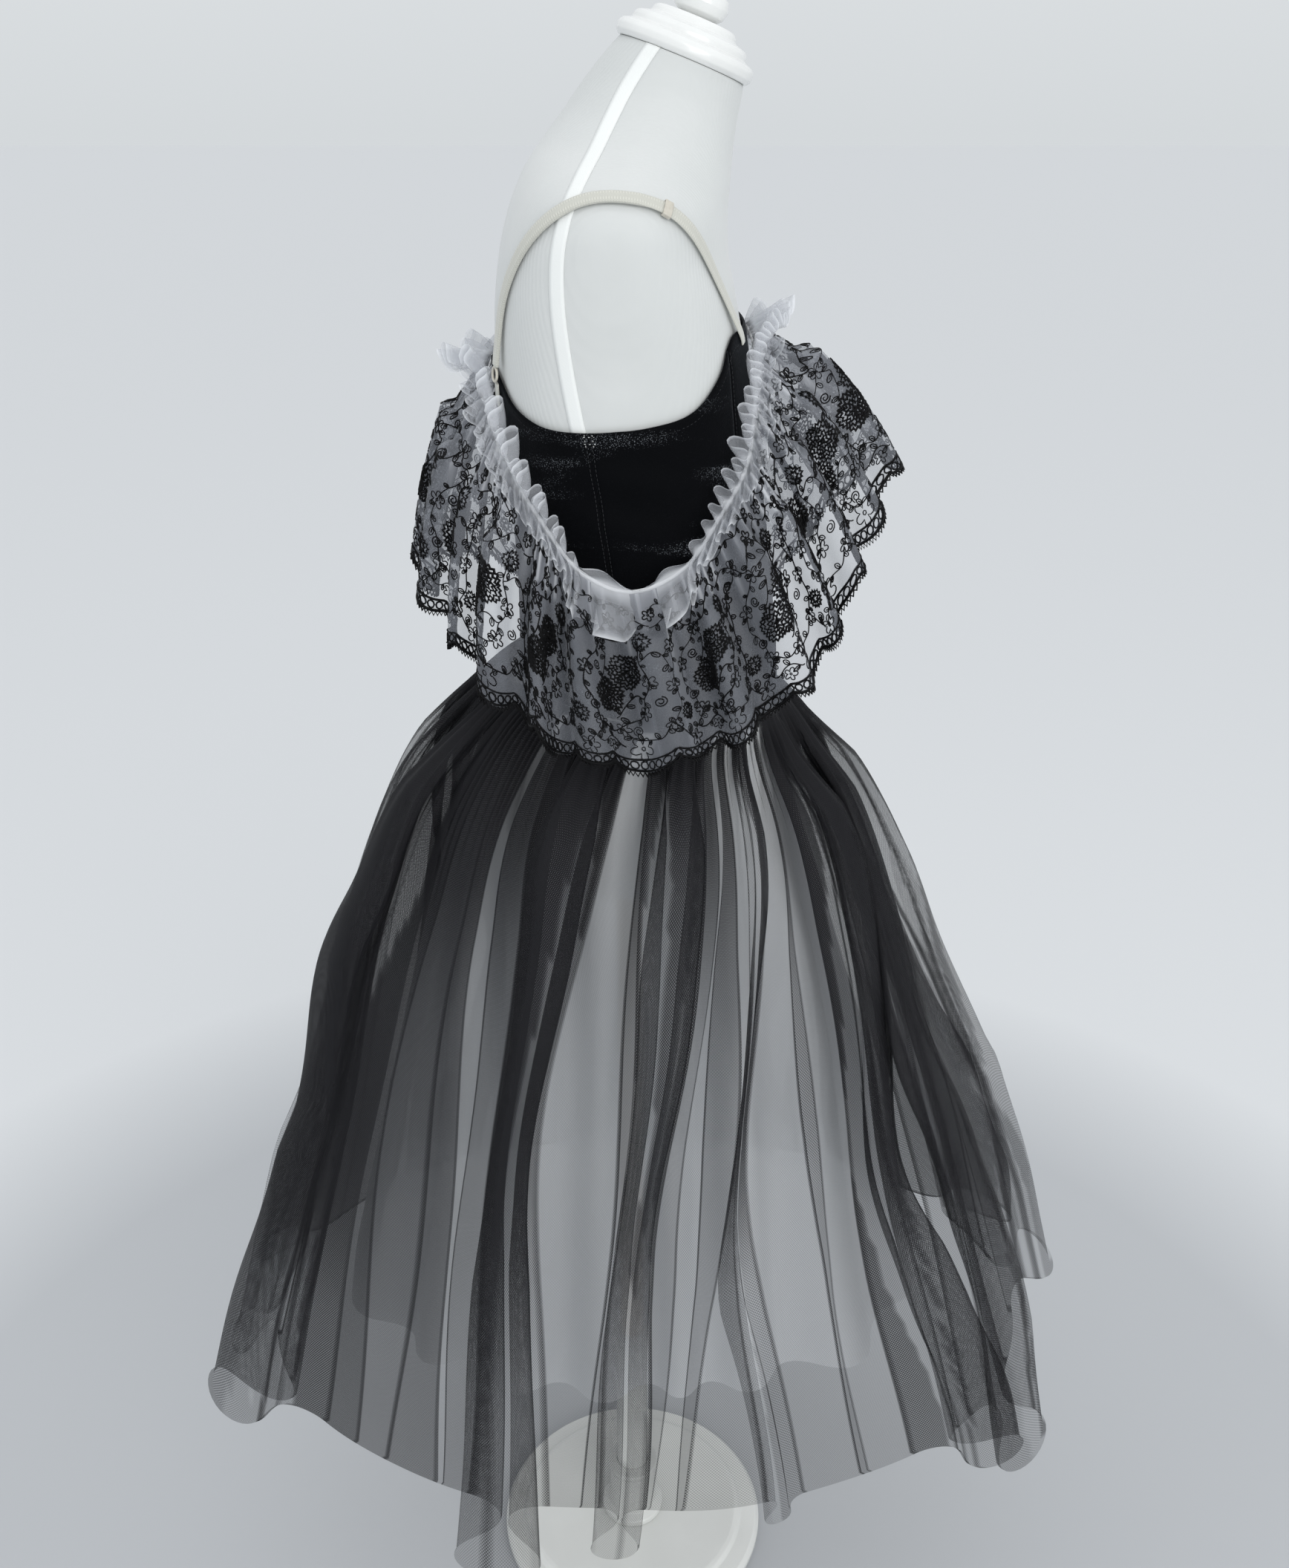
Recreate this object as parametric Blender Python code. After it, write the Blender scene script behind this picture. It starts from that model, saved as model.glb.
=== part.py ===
"""Romantic ballet tutu for a child, on a limbless dress form.

Metres, +Z up. The origin is on the floor at the centre of the round base. The
garment's front faces -Y and the wearer's right side is -X. Cloth is a thin wall
that follows the form or hangs in folds of constant cloth length.
"""

import math
from collections import namedtuple

import bmesh
import bpy
import numpy as np
from mathutils import Matrix, Vector
from mathutils.bvhtree import BVHTree

# Driving sizes of the stand
BASE_RADIUS = 0.127
BASE_HEIGHT = 0.020
BASE_RIM_RADIUS = 0.105
LOWER_POLE_RADIUS = 0.015
UPPER_POLE_RADIUS = 0.0105
CLAMP_RADIUS = 0.020
CLAMP_BOTTOM = 0.226
CLAMP_HEIGHT = 0.024
FOOT_RING_RADIUS = 0.024
FOOT_RING_HEIGHT = 0.062
TORSO_UNDERSIDE = 0.763

# Driving sizes of the garment
TOUCH_GAP = 0.0003
SEAM_GAP = 0.0005
VELVET_THICKNESS = 0.0014
BODICE_EASE = 0.0016
TULLE_THICKNESS = 0.0012
LACE_THICKNESS = 0.0012
ORGANZA_THICKNESS = 0.0010
WAIST_FRONT_HEIGHT = 0.893
WAIST_BACK_HEIGHT = 0.919
WAIST_FRONT_REACH = 0.110
WAIST_BACK_REACH = 0.083
WAIST_RADIUS = 0.10
HEM_HEIGHT = 0.293
SKIRT_BOXINESS = 2.12
FLOUNCE_CLOTH_WIDTH = 1.62
FLOUNCE_BELLY = 0.006
SCALLOP_WIDTH = 0.058
SCALLOP_DROP = 0.009
ELASTIC_HEIGHT = 0.005
ELASTIC_THICKNESS = 0.0016
FRILL_FOLDS = 22
FRILL_STANDOFF = 0.0014
STRAP_WIDTH = 0.0085
STRAP_THICKNESS = 0.0013
STRAP_DOUBLED_FROM = 0.47
SLIDER_WALL = 0.0007
SLIDER_LENGTH = 0.0055
SLIDER_ROOM = 0.0009
RING_RADIUS = 0.0046
RING_WIRE = 0.0009
TAB_LENGTH = 0.016
TAB_LIFT = 0.0046

# How finely the solids are drawn
BODY_COLUMNS = 32
SKIRT_POINTS_PER_FLUTE = 9
SKIRT_POINTS_PER_FLAT = 3
UNDERSKIRT_POINTS_PER_FOLD = 6
FLOUNCE_POINTS_PER_FOLD = 6
FRILL_POINTS_PER_FOLD = 4
RUFFLE_LINE_POINTS = 97
ELASTIC_SECTIONS = 29
STRAP_SECTIONS = 37

RIGHT = -1.0
LEFT = 1.0

# One row for each section of the torso: where its plane meets the front and the back
# centre lines, its half width, and how boxy it is (2 is an ellipse).
Section = namedtuple("Section", "front_y front_z back_y back_z half_width boxiness")
TORSO_SECTIONS = [
    Section(-0.080, 0.763, 0.076, 0.763, 0.092, 2.1),
    Section(-0.094, 0.769, 0.088, 0.769, 0.107, 2.1),
    Section(-0.103, 0.791, 0.098, 0.791, 0.115, 2.1),
    Section(-0.108, 0.841, 0.099, 0.841, 0.116, 2.1),
    Section(-0.110, 0.891, 0.088, 0.891, 0.107, 2.1),
    Section(-0.107, 0.936, 0.078, 0.936, 0.101, 2.1),
    Section(-0.101, 0.991, 0.077, 0.991, 0.104, 2.2),
    Section(-0.093, 1.051, 0.082, 1.051, 0.112, 2.3),
    Section(-0.086, 1.101, 0.087, 1.101, 0.119, 2.4),
    Section(-0.081, 1.141, 0.089, 1.141, 0.124, 2.5),
    Section(-0.074, 1.176, 0.088, 1.177, 0.130, 2.5),
    Section(-0.068, 1.205, 0.084, 1.208, 0.134, 2.4),
    Section(-0.067, 1.222, 0.079, 1.229, 0.134, 2.3),
    Section(-0.067, 1.234, 0.073, 1.246, 0.127, 2.2),
    Section(-0.068, 1.245, 0.065, 1.262, 0.109, 2.1),
    Section(-0.069, 1.257, 0.054, 1.277, 0.084, 2.0),
    Section(-0.070, 1.270, 0.041, 1.293, 0.064, 2.0),
    Section(-0.072, 1.285, 0.027, 1.311, 0.051, 2.0),
    Section(-0.0745, 1.298, 0.013, 1.327, 0.0460, 2.0),
    Section(-0.0755, 1.3065, 0.0035, 1.3360, 0.0445, 2.0),
]
HIGHEST_LEVEL_SECTION = 10

# Top edge of the bodice by angle from centre front (0) through the side (90) to centre back.
NeckEdge = namedtuple("NeckEdge", "angle height")
BODICE_TOP = [
    NeckEdge(0, 1.163),
    NeckEdge(22, 1.163),
    NeckEdge(36, 1.159),
    NeckEdge(48, 1.139),
    NeckEdge(62, 1.121),
    NeckEdge(82, 1.111),
    NeckEdge(105, 1.107),
    NeckEdge(125, 1.110),
    NeckEdge(140, 1.120),
    NeckEdge(152, 1.135),
    NeckEdge(165, 1.142),
    NeckEdge(180, 1.140),
]
PRINCESS_SEAM_ANGLE = 40
SIDE_SEAM_ANGLE = 101

# The off-shoulder ruffle on one side, from centre front round under the arm to centre back:
# the elastic's line, and the middle line of the flounce's hem that hangs from it.
Loop = namedtuple("Loop", "out y z hem_out hem_y hem_z frill lean")
RUFFLE_LOOP = [
    Loop(0.000, -0.0826, 1.158, 0.000, -0.182, 1.067, 0.026, 18),
    Loop(0.040, -0.0850, 1.147, 0.050, -0.168, 1.043, 0.020, 20),
    Loop(0.066, -0.0845, 1.119, 0.085, -0.147, 1.003, 0.013, 25),
    Loop(0.088, -0.0790, 1.081, 0.112, -0.134, 0.965, 0.013, 32),
    Loop(0.107, -0.0610, 1.051, 0.138, -0.102, 0.934, 0.013, 30),
    Loop(0.121, -0.0370, 1.020, 0.158, -0.055, 0.908, 0.017, 22),
    Loop(0.128, -0.0020, 1.007, 0.167, 0.000, 0.901, 0.038, -8),
    Loop(0.122, 0.0310, 1.020, 0.160, 0.042, 0.910, 0.017, 22),
    Loop(0.108, 0.0560, 1.050, 0.141, 0.075, 0.933, 0.013, 32),
    Loop(0.090, 0.0740, 1.075, 0.110, 0.101, 0.955, 0.013, 34),
    Loop(0.066, 0.0870, 1.105, 0.070, 0.125, 0.976, 0.014, 36),
    Loop(0.036, 0.0935, 1.128, 0.034, 0.136, 0.991, 0.020, 42),
    Loop(0.000, 0.0936, 1.138, 0.000, 0.140, 1.001, 0.024, 45),
]

# Share of the cloth that each fold of the flounce takes, centre front to centre back.
FLOUNCE_FOLDS = {
    RIGHT: [1.2, 0.9, 1.1, 0.8, 1.2, 0.9, 1.3, 1.1, 0.8, 1.2, 0.9, 1.1, 1.0],
    LEFT: [1.0, 1.1, 0.8, 1.3, 0.9, 1.1, 1.0, 1.3, 0.9, 0.8, 1.2, 0.9, 1.2],
}

# Rows of the flounce, as a share of its depth, and how full it is gathered there (0 takes
# all the cloth). Rows of the frill, as a share of its height, and how deep its waves are.
FlounceRow = namedtuple("FlounceRow", "down fullness")
FLOUNCE_ROWS = [
    FlounceRow(0.0, 1.04),
    FlounceRow(0.25, 1.2),
    FlounceRow(0.6, 0.0),
    FlounceRow(1.0, 0.0),
]
FrillRow = namedtuple("FrillRow", "up depth")
FRILL_ROWS = [
    FrillRow(0.0, 0.0016),
    FrillRow(0.5, 0.0032),
    FrillRow(1.0, 0.0046),
]

# One row for each level of the skirt: how far below the waist, how far out the troughs of
# its folds lie in front, behind and at the sides, and how full the cloth may be folded.
# Cloth beyond that is taken up in gathers too small to model.
Level = namedtuple("Level", "drop front back side fullest")
SKIRT_LEVELS = [
    Level(0.000, 0.1155, 0.0885, 0.1085, 1.25),
    Level(0.022, 0.1250, 0.1110, 0.1180, 1.90),
    Level(0.065, 0.1500, 0.1460, 0.1430, 3.60),
    Level(0.160, 0.1920, 0.1910, 0.1590, 4.40),
    Level(0.350, 0.2700, 0.2480, 0.1880, 4.90),
    Level(0.613, 0.3490, 0.3240, 0.2330, 9.00),
]

# One row for each stretch of the skirt, from centre back through the wearer's right side:
# the bearing at the hem where it ends, its width of cloth, how far a flute leans over, how
# deep it stands, and how late on the way down it takes its width. A flat stretch between
# flutes has a depth of 1 and no lean.
Fold = namedtuple("Fold", "until cloth tilt depth late")
SKIRT_FOLDS = [
    Fold(9, 0.215, 0.25, 0.55, 0.7),
    Fold(19, 0.060, 0.0, 1.0, 0.5),
    Fold(31, 0.280, -0.35, 0.48, 0.8),
    Fold(39, 0.048, 0.0, 1.0, 0.9),
    Fold(49, 0.240, 0.35, 0.45, 0.6),
    Fold(60, 0.060, 0.0, 1.0, 1.4),
    Fold(71, 0.280, 0.30, 0.55, 0.6),
    Fold(73, 0.016, 0.0, 1.0, 0.3),
    Fold(81, 0.210, -0.30, 0.60, 0.8),
    Fold(88, 0.042, 0.0, 1.0, 0.22),
    Fold(96, 0.190, 0.20, 0.60, 0.9),
    Fold(114, 0.098, 0.0, 1.0, 0.9),
    Fold(122, 0.160, -0.45, 0.50, 0.5),
    Fold(141, 0.106, 0.0, 1.0, 0.45),
    Fold(151, 0.240, 0.35, 0.45, 1.0),
    Fold(154, 0.018, 0.0, 1.0, 0.5),
    Fold(166, 0.300, -0.30, 0.45, 0.7),
    Fold(176, 0.058, 0.0, 1.0, 0.8),
    Fold(188, 0.270, 0.30, 0.50, 0.6),
    Fold(198, 0.057, 0.0, 1.0, 1.0),
    Fold(209, 0.255, -0.35, 0.50, 0.7),
    Fold(218, 0.052, 0.0, 1.0, 0.4),
    Fold(230, 0.280, 0.25, 0.48, 0.8),
    Fold(239, 0.052, 0.0, 1.0, 1.1),
    Fold(249, 0.230, -0.30, 0.55, 0.6),
    Fold(257, 0.046, 0.0, 1.0, 0.3),
    Fold(267, 0.220, 0.35, 0.55, 0.8),
    Fold(282, 0.083, 0.0, 1.0, 0.5),
    Fold(291, 0.210, -0.35, 0.50, 0.7),
    Fold(300, 0.052, 0.0, 1.0, 1.2),
    Fold(312, 0.275, 0.30, 0.48, 0.6),
    Fold(321, 0.052, 0.0, 1.0, 0.4),
    Fold(332, 0.250, -0.30, 0.50, 0.8),
    Fold(341, 0.052, 0.0, 1.0, 1.0),
    Fold(352, 0.245, 0.30, 0.52, 0.6),
    Fold(360, 0.048, 0.0, 1.0, 0.6),
]

# One row for each level of the underskirt, in the same columns as the skirt's.
UNDERSKIRT_LEVELS = [
    Level(0.004, 0.1130, 0.0865, 0.1070, 1.00),
    Level(0.065, 0.1190, 0.1115, 0.1182, 1.02),
    Level(0.180, 0.1480, 0.1440, 0.1260, 1.15),
    Level(0.380, 0.2020, 0.1930, 0.1320, 1.17),
    Level(0.555, 0.2420, 0.2340, 0.1500, 1.20),
]
UNDERSKIRT_CLOTH_WIDTH = 1.66
UNDERSKIRT_FOLDS = [1.2, 0.9, 1.1, 1.3, 0.8, 1.0, 1.2, 0.9, 1.1, 0.8, 1.3, 1.0, 0.9, 1.2, 1.0, 1.1]

# How the flutes' lean changes on the way down: how fast it reaches its full amount, and how
# much and how fast it wanders from fold to fold and along the drop, in radians.
TILT_SETTLES = 0.6
TILT_WANDER = 0.9
WANDER_PER_FOLD = 2.3
WANDER_PER_METRE = 8.0

# The strap's route on one side, from the front edge over the shoulder to the ring, and how
# far its middle lies off the torso.
RoutePoint = namedtuple("RoutePoint", "out y z lift")
STRAP_ROUTE = [
    RoutePoint(0.068, -0.086, 1.151, 0.0046),
    RoutePoint(0.071, -0.084, 1.162, 0.0046),
    RoutePoint(0.079, -0.077, 1.175, 0.0032),
    RoutePoint(0.091, -0.066, 1.193, 0.0022),
    RoutePoint(0.104, -0.048, 1.213, 0.0026),
    RoutePoint(0.115, -0.027, 1.231, 0.0034),
    RoutePoint(0.122, -0.005, 1.240, 0.0034),
    RoutePoint(0.124, 0.018, 1.243, 0.0030),
    RoutePoint(0.119, 0.041, 1.233, 0.0028),
    RoutePoint(0.106, 0.063, 1.213, 0.0026),
    RoutePoint(0.091, 0.081, 1.187, 0.0026),
    RoutePoint(0.080, 0.088, 1.160, 0.0030),
    RoutePoint(0.075, 0.089, 1.1415, 0.0048),
]


def clear_scene():
    """Start from an empty file."""
    for old in list(bpy.data.objects):
        bpy.data.objects.remove(old, do_unlink=True)


def finish(name, color, roughness, metallic=0.0):
    """A plain Principled material."""
    material = bpy.data.materials.new(name)
    material.use_nodes = True
    shader = material.node_tree.nodes["Principled BSDF"]
    shader.inputs["Base Color"].default_value = (*color, 1.0)
    shader.inputs["Roughness"].default_value = roughness
    shader.inputs["Metallic"].default_value = metallic
    return material


def add_mesh(name, points, faces, material, smooth_angle=50):
    """An object from points and faces, with its faces turned outwards."""
    mesh = bpy.data.meshes.new(name)
    mesh.from_pydata([tuple(p) for p in points], [], faces)
    build = bmesh.new()
    build.from_mesh(mesh)
    bmesh.ops.recalc_face_normals(build, faces=build.faces)
    build.to_mesh(mesh)
    build.free()
    mesh.shade_smooth()
    mesh.set_sharp_from_angle(angle=math.radians(smooth_angle))
    mesh.materials.append(material)
    obj = bpy.data.objects.new(name, mesh)
    bpy.context.scene.collection.objects.link(obj)
    return obj


def curve_through(places, values, wanted):
    """Smooth interpolation of a column of a table, without overshoot at its ends."""
    places = np.asarray(places, float)
    values = np.asarray(values, float)
    steps = np.diff(places)
    slopes = np.diff(values) / steps
    tangents = np.empty_like(values)
    tangents[0] = slopes[0]
    tangents[-1] = slopes[-1]
    tangents[1:-1] = (slopes[:-1] * steps[1:] + slopes[1:] * steps[:-1]) / (steps[1:] + steps[:-1])
    wanted = np.clip(np.asarray(wanted, float), places[0], places[-1])
    cell = np.clip(np.searchsorted(places, wanted) - 1, 0, len(steps) - 1)
    t = (wanted - places[cell]) / steps[cell]
    width = steps[cell]
    return (
        values[cell] * (2 * t**3 - 3 * t**2 + 1)
        + tangents[cell] * width * (t**3 - 2 * t**2 + t)
        + values[cell + 1] * (3 * t**2 - 2 * t**3)
        + tangents[cell + 1] * width * (t**3 - t**2)
    )


def column(rows, field):
    return np.array([getattr(row, field) for row in rows])


def superellipse(angle, half_width, half_depth, boxiness):
    """Offset from a section's centre; angle 0 is the front (-Y), 90 degrees the right (-X)."""
    sine = math.sin(angle)
    cosine = math.cos(angle)
    across = math.copysign(abs(sine) ** (2 / boxiness), sine)
    along = math.copysign(abs(cosine) ** (2 / boxiness), cosine)
    return -across * half_width, -along * half_depth


def cap_faces(rings, columns):
    """Two flat fans that close the lowest and the highest ring of a loft."""
    last = (rings - 1) * columns
    return [list(range(columns))[::-1], [last + i for i in range(columns)]]


def loft_faces(rings, columns):
    faces = []
    for ring in range(rings - 1):
        for i in range(columns):
            j = (i + 1) % columns
            below = ring * columns
            faces.append([below + i, below + j, below + columns + j, below + columns + i])
    return faces


def torso_ring(section, columns=BODY_COLUMNS):
    front = np.array([section.front_y, section.front_z])
    back = np.array([section.back_y, section.back_z])
    middle = (front + back) / 2
    depth_axis = (back - front) / np.linalg.norm(back - front)
    half_depth = np.linalg.norm(back - front) / 2
    points = []
    for i in range(columns):
        angle = 2 * math.pi * i / columns
        x, along = superellipse(angle, section.half_width, half_depth, section.boxiness)
        y, z = middle + depth_axis * along
        points.append((x, y, z))
    return points


def body_point(angle, height, clearance):
    """A point a clearance out from the level part of the torso; angle in radians from front."""
    level = TORSO_SECTIONS[: HIGHEST_LEVEL_SECTION + 1]
    heights = column(level, "front_z")
    front = float(np.interp(height, heights, column(level, "front_y")))
    back = float(np.interp(height, heights, column(level, "back_y")))
    width = float(np.interp(height, heights, column(level, "half_width")))
    boxiness = float(np.interp(height, heights, column(level, "boxiness")))
    middle = (front + back) / 2
    half_depth = (back - front) / 2
    x, y = superellipse(angle, width + clearance, half_depth + clearance, boxiness)
    return np.array([x, y + middle, height])


def build_torso(material):
    points = []
    for section in TORSO_SECTIONS:
        points.extend(torso_ring(section))
    rings = len(TORSO_SECTIONS)
    faces = loft_faces(rings, BODY_COLUMNS) + cap_faces(rings, BODY_COLUMNS)
    return add_mesh("form_torso", points, faces, material)


def turned(name, profile, material, segments=32, place=Matrix.Identity(4)):
    """A turned solid from (radius, height) pairs, bottom first; radius 0 closes it on the axis.

    A profile that never reaches the axis is closed on itself and makes a ring."""
    points = []
    faces = []
    rows = []
    for radius, height in profile:
        if radius == 0:
            rows.append([len(points)])
            points.append(place @ Vector((0, 0, height)))
            continue
        rows.append(list(range(len(points), len(points) + segments)))
        for i in range(segments):
            angle = 2 * math.pi * i / segments
            points.append(place @ Vector((radius * math.cos(angle), radius * math.sin(angle), height)))
    pairs = list(zip(rows, rows[1:]))
    if profile[0][0] > 0:
        pairs.append((rows[-1], rows[0]))
    for low, high in pairs:
        for i in range(segments):
            j = (i + 1) % segments
            if len(low) == 1:
                faces.append([low[0], high[j], high[i]])
            elif len(high) == 1:
                faces.append([low[i], low[j], high[0]])
            else:
                faces.append([low[i], low[j], high[j], high[i]])
    return add_mesh(name, points, faces, material, smooth_angle=35)


def build_stand(gloss, wood):
    rim = BASE_RIM_RADIUS
    turned(
        "form_base",
        [
            (0, 0),
            (BASE_RADIUS - 0.005, 0),
            (BASE_RADIUS, 0.004),
            (BASE_RADIUS, 0.009),
            (BASE_RADIUS - 0.004, 0.0135),
            (rim + 0.004, 0.015),
            (rim + 0.001, 0.0185),
            (rim - 0.003, BASE_HEIGHT),
            (0, BASE_HEIGHT),
        ],
        gloss,
        segments=40,
    )
    seat = BASE_HEIGHT + TOUCH_GAP
    inner = LOWER_POLE_RADIUS + TOUCH_GAP
    turned(
        "form_foot_ring",
        [
            (inner, seat),
            (FOOT_RING_RADIUS + 0.006, seat),
            (FOOT_RING_RADIUS + 0.006, seat + 0.006),
            (FOOT_RING_RADIUS - 0.001, seat + 0.010),
            (FOOT_RING_RADIUS - 0.002, seat + FOOT_RING_HEIGHT - 0.010),
            (FOOT_RING_RADIUS, seat + FOOT_RING_HEIGHT - 0.006),
            (FOOT_RING_RADIUS, seat + FOOT_RING_HEIGHT - 0.002),
            (inner, seat + FOOT_RING_HEIGHT),
        ],
        gloss,
        segments=20,
    )
    pole_top = CLAMP_BOTTOM - TOUCH_GAP
    turned(
        "form_lower_pole",
        [(0, seat), (LOWER_POLE_RADIUS, seat), (LOWER_POLE_RADIUS, pole_top), (0, pole_top)],
        gloss,
        segments=24,
    )
    inner = UPPER_POLE_RADIUS + TOUCH_GAP
    top = CLAMP_BOTTOM + CLAMP_HEIGHT
    turned(
        "form_clamp",
        [
            (inner, CLAMP_BOTTOM),
            (CLAMP_RADIUS - 0.002, CLAMP_BOTTOM),
            (CLAMP_RADIUS, CLAMP_BOTTOM + 0.003),
            (CLAMP_RADIUS - 0.001, top - 0.006),
            (CLAMP_RADIUS - 0.006, top),
            (inner, top),
        ],
        gloss,
        segments=24,
    )
    turned(
        "form_upper_pole",
        [
            (0, CLAMP_BOTTOM),
            (UPPER_POLE_RADIUS, CLAMP_BOTTOM),
            (UPPER_POLE_RADIUS, TORSO_UNDERSIDE - TOUCH_GAP),
            (0, TORSO_UNDERSIDE - TOUCH_GAP),
        ],
        wood,
        segments=20,
    )


def build_neck_cap(gloss):
    """The turned cap sits square on the slanting cut of the neck."""
    top = TORSO_SECTIONS[-1]
    front = Vector((0, top.front_y, top.front_z))
    back = Vector((0, top.back_y, top.back_z))
    across = (back - front).normalized()
    axis = Vector((1, 0, 0)).cross(across)
    place = Matrix.Translation((front + back) / 2 + axis * TOUCH_GAP)
    place = place @ Vector((0, 0, 1)).rotation_difference(axis).to_matrix().to_4x4()
    turned(
        "form_neck_cap",
        [
            (0, 0),
            (0.0440, 0),
            (0.0463, 0.0030),
            (0.0463, 0.0070),
            (0.0445, 0.0100),
            (0.0390, 0.0120),
            (0.0385, 0.0150),
            (0.0370, 0.0175),
            (0.0290, 0.0200),
            (0.0280, 0.0230),
            (0.0260, 0.0250),
            (0, 0.0255),
        ],
        gloss,
        segments=28,
        place=place,
    )
    turned(
        "form_finial",
        [
            (0, 0.0258),
            (0.0120, 0.0258),
            (0.0165, 0.0290),
            (0.0182, 0.0345),
            (0.0165, 0.0400),
            (0.0105, 0.0430),
            (0.0095, 0.0460),
            (0.0120, 0.0485),
            (0.0135, 0.0530),
            (0.0115, 0.0580),
            (0.0060, 0.0610),
            (0, 0.0618),
        ],
        gloss,
        segments=16,
        place=place,
    )


def cloth_wall(name, grid, thickness, material, closed=False):
    """A thin closed wall on a grid of points [row][column], half its thickness each way."""
    grid = np.asarray(grid, float)
    rows, columns = grid.shape[:2]
    points = grid.reshape(-1, 3)
    faces = []
    for row in range(rows - 1):
        for i in range(columns if closed else columns - 1):
            j = (i + 1) % columns
            a, b = row * columns + i, row * columns + j
            c, d = a + columns, b + columns
            across_ad = np.linalg.norm(points[a] - points[d])
            across_bc = np.linalg.norm(points[b] - points[c])
            if across_ad <= across_bc:
                faces += [[a, b, d], [a, d, c]]
            else:
                faces += [[a, b, c], [b, d, c]]
    normals = np.zeros_like(points)
    for a, b, c in faces:
        turn = np.cross(points[b] - points[a], points[c] - points[a])
        size = np.linalg.norm(turn)
        if size > 0:
            normals[[a, b, c]] += turn / math.sqrt(size)
    normals /= np.linalg.norm(normals, axis=1, keepdims=True)
    outer = points + normals * thickness / 2
    inner = points - normals * thickness / 2
    count = len(points)
    solid = list(faces) + [[c + count, b + count, a + count] for a, b, c in faces]
    edges = {}
    for a, b, c in faces:
        for start, end in ((a, b), (b, c), (c, a)):
            if (end, start) in edges:
                del edges[(end, start)]
            else:
                edges[(start, end)] = True
    for start, end in edges:
        solid.append([end, start, start + count])
        solid.append([end, start + count, end + count])
    return add_mesh(name, np.vstack([outer, inner]), solid, material)


def waist_height(y):
    """The waist seam runs level from side to side and is lower in front."""
    share = (y + WAIST_FRONT_REACH) / (WAIST_FRONT_REACH + WAIST_BACK_REACH)
    return WAIST_FRONT_HEIGHT + (WAIST_BACK_HEIGHT - WAIST_FRONT_HEIGHT) * share


def bodice_column(angle, clearance, rows=7):
    """Points up one line of the bodice, from waist seam to top edge."""
    degrees = abs(math.degrees(angle))
    if degrees > 180:
        degrees = 360 - degrees
    top = float(curve_through(column(BODICE_TOP, "angle"), column(BODICE_TOP, "height"), degrees))
    bottom = waist_height(body_point(angle, (WAIST_FRONT_HEIGHT + WAIST_BACK_HEIGHT) / 2, clearance)[1])
    return [body_point(angle, bottom + (top - bottom) * r / (rows - 1), clearance) for r in range(rows)]


def bodice_panel(name, first, last, material):
    """One velvet panel between two seams, given in degrees from centre front to the right."""
    clearance = BODICE_EASE + VELVET_THICKNESS / 2
    seam = math.degrees(TOUCH_GAP / 2 / WAIST_RADIUS)
    step = 360 / BODY_COLUMNS
    room = step / 4
    steps = [step * i for i in range(-BODY_COLUMNS, BODY_COLUMNS + 1)]
    inner_lines = [line for line in steps if first + room < line < last - room]
    lines = [first + seam] + inner_lines + [last - seam]
    columns = [bodice_column(math.radians(line), clearance) for line in lines]
    grid = np.array(columns).transpose(1, 0, 2)
    cloth_wall(name, grid, VELVET_THICKNESS, material)


def build_bodice(velvet):
    bodice_panel("bodice_front", -PRINCESS_SEAM_ANGLE, PRINCESS_SEAM_ANGLE, velvet)
    bodice_panel("bodice_side_right", PRINCESS_SEAM_ANGLE, SIDE_SEAM_ANGLE, velvet)
    bodice_panel("bodice_side_left", -SIDE_SEAM_ANGLE, -PRINCESS_SEAM_ANGLE, velvet)
    bodice_panel("bodice_back", SIDE_SEAM_ANGLE, 360 - SIDE_SEAM_ANGLE, velvet)


LEAN = np.linspace(0.0, 2.08, 200)
TURN = np.linspace(0.0, 2 * math.pi, 200)
FULLNESS = 1 / np.array([np.mean(np.cos(lean * np.sin(TURN[:-1]))) for lean in LEAN])


def fold_shape(lean, samples):
    """One fold of constant cloth length, trough to trough, as (along 0 to 1, out / along)."""
    fine = np.linspace(0, 1, 121)
    direction = lean * np.sin(2 * math.pi * fine)
    middle = (direction[1:] + direction[:-1]) / 2
    along = np.concatenate([[0], np.cumsum(np.cos(middle))])
    out = np.concatenate([[0], np.cumsum(np.sin(middle))])
    out = (out - np.linspace(0, out[-1], len(out))) / along[-1]
    along = along / along[-1]
    wanted = np.linspace(0, 1, samples + 1)[:-1]
    return np.interp(wanted, fine, along), np.interp(wanted, fine, out)


def folded_row(starts, cloth, outline, samples, fullness=0.0):
    """A row of points through all folds.

    starts are the folds' borders along the outline (0 to 1) and cloth each fold's length in
    metres, which sets how deep it is where no fullness is given."""
    row = []
    for fold, length in enumerate(cloth):
        begin, end = starts[fold], starts[fold + 1]
        width = (end - begin) * outline.length
        wanted = fullness or length / width
        lean = float(np.interp(wanted, FULLNESS, LEAN))
        along, out = fold_shape(lean, samples)
        for step, height in zip(along, out):
            point, outward = outline.at(begin + (end - begin) * step)
            row.append(point + outward * height * width)
    return row


class Outline:
    """A polyline with outward directions, read by the share of its length.

    A closed one also takes shares below 0 and above 1."""

    def __init__(self, points, outwards, closed=False):
        self.closed = closed
        self.points = np.asarray(points, float)
        self.outwards = np.asarray(outwards, float)
        steps = np.linalg.norm(np.diff(self.points, axis=0), axis=1)
        self.reach = np.concatenate([[0], np.cumsum(steps)])
        self.length = self.reach[-1]
        self.reach /= self.length

    def at(self, place):
        place = place % 1.0 if self.closed else place
        point = np.array([np.interp(place, self.reach, self.points[:, k]) for k in range(3)])
        outward = np.array([np.interp(place, self.reach, self.outwards[:, k]) for k in range(3)])
        return point, outward / np.linalg.norm(outward)


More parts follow.
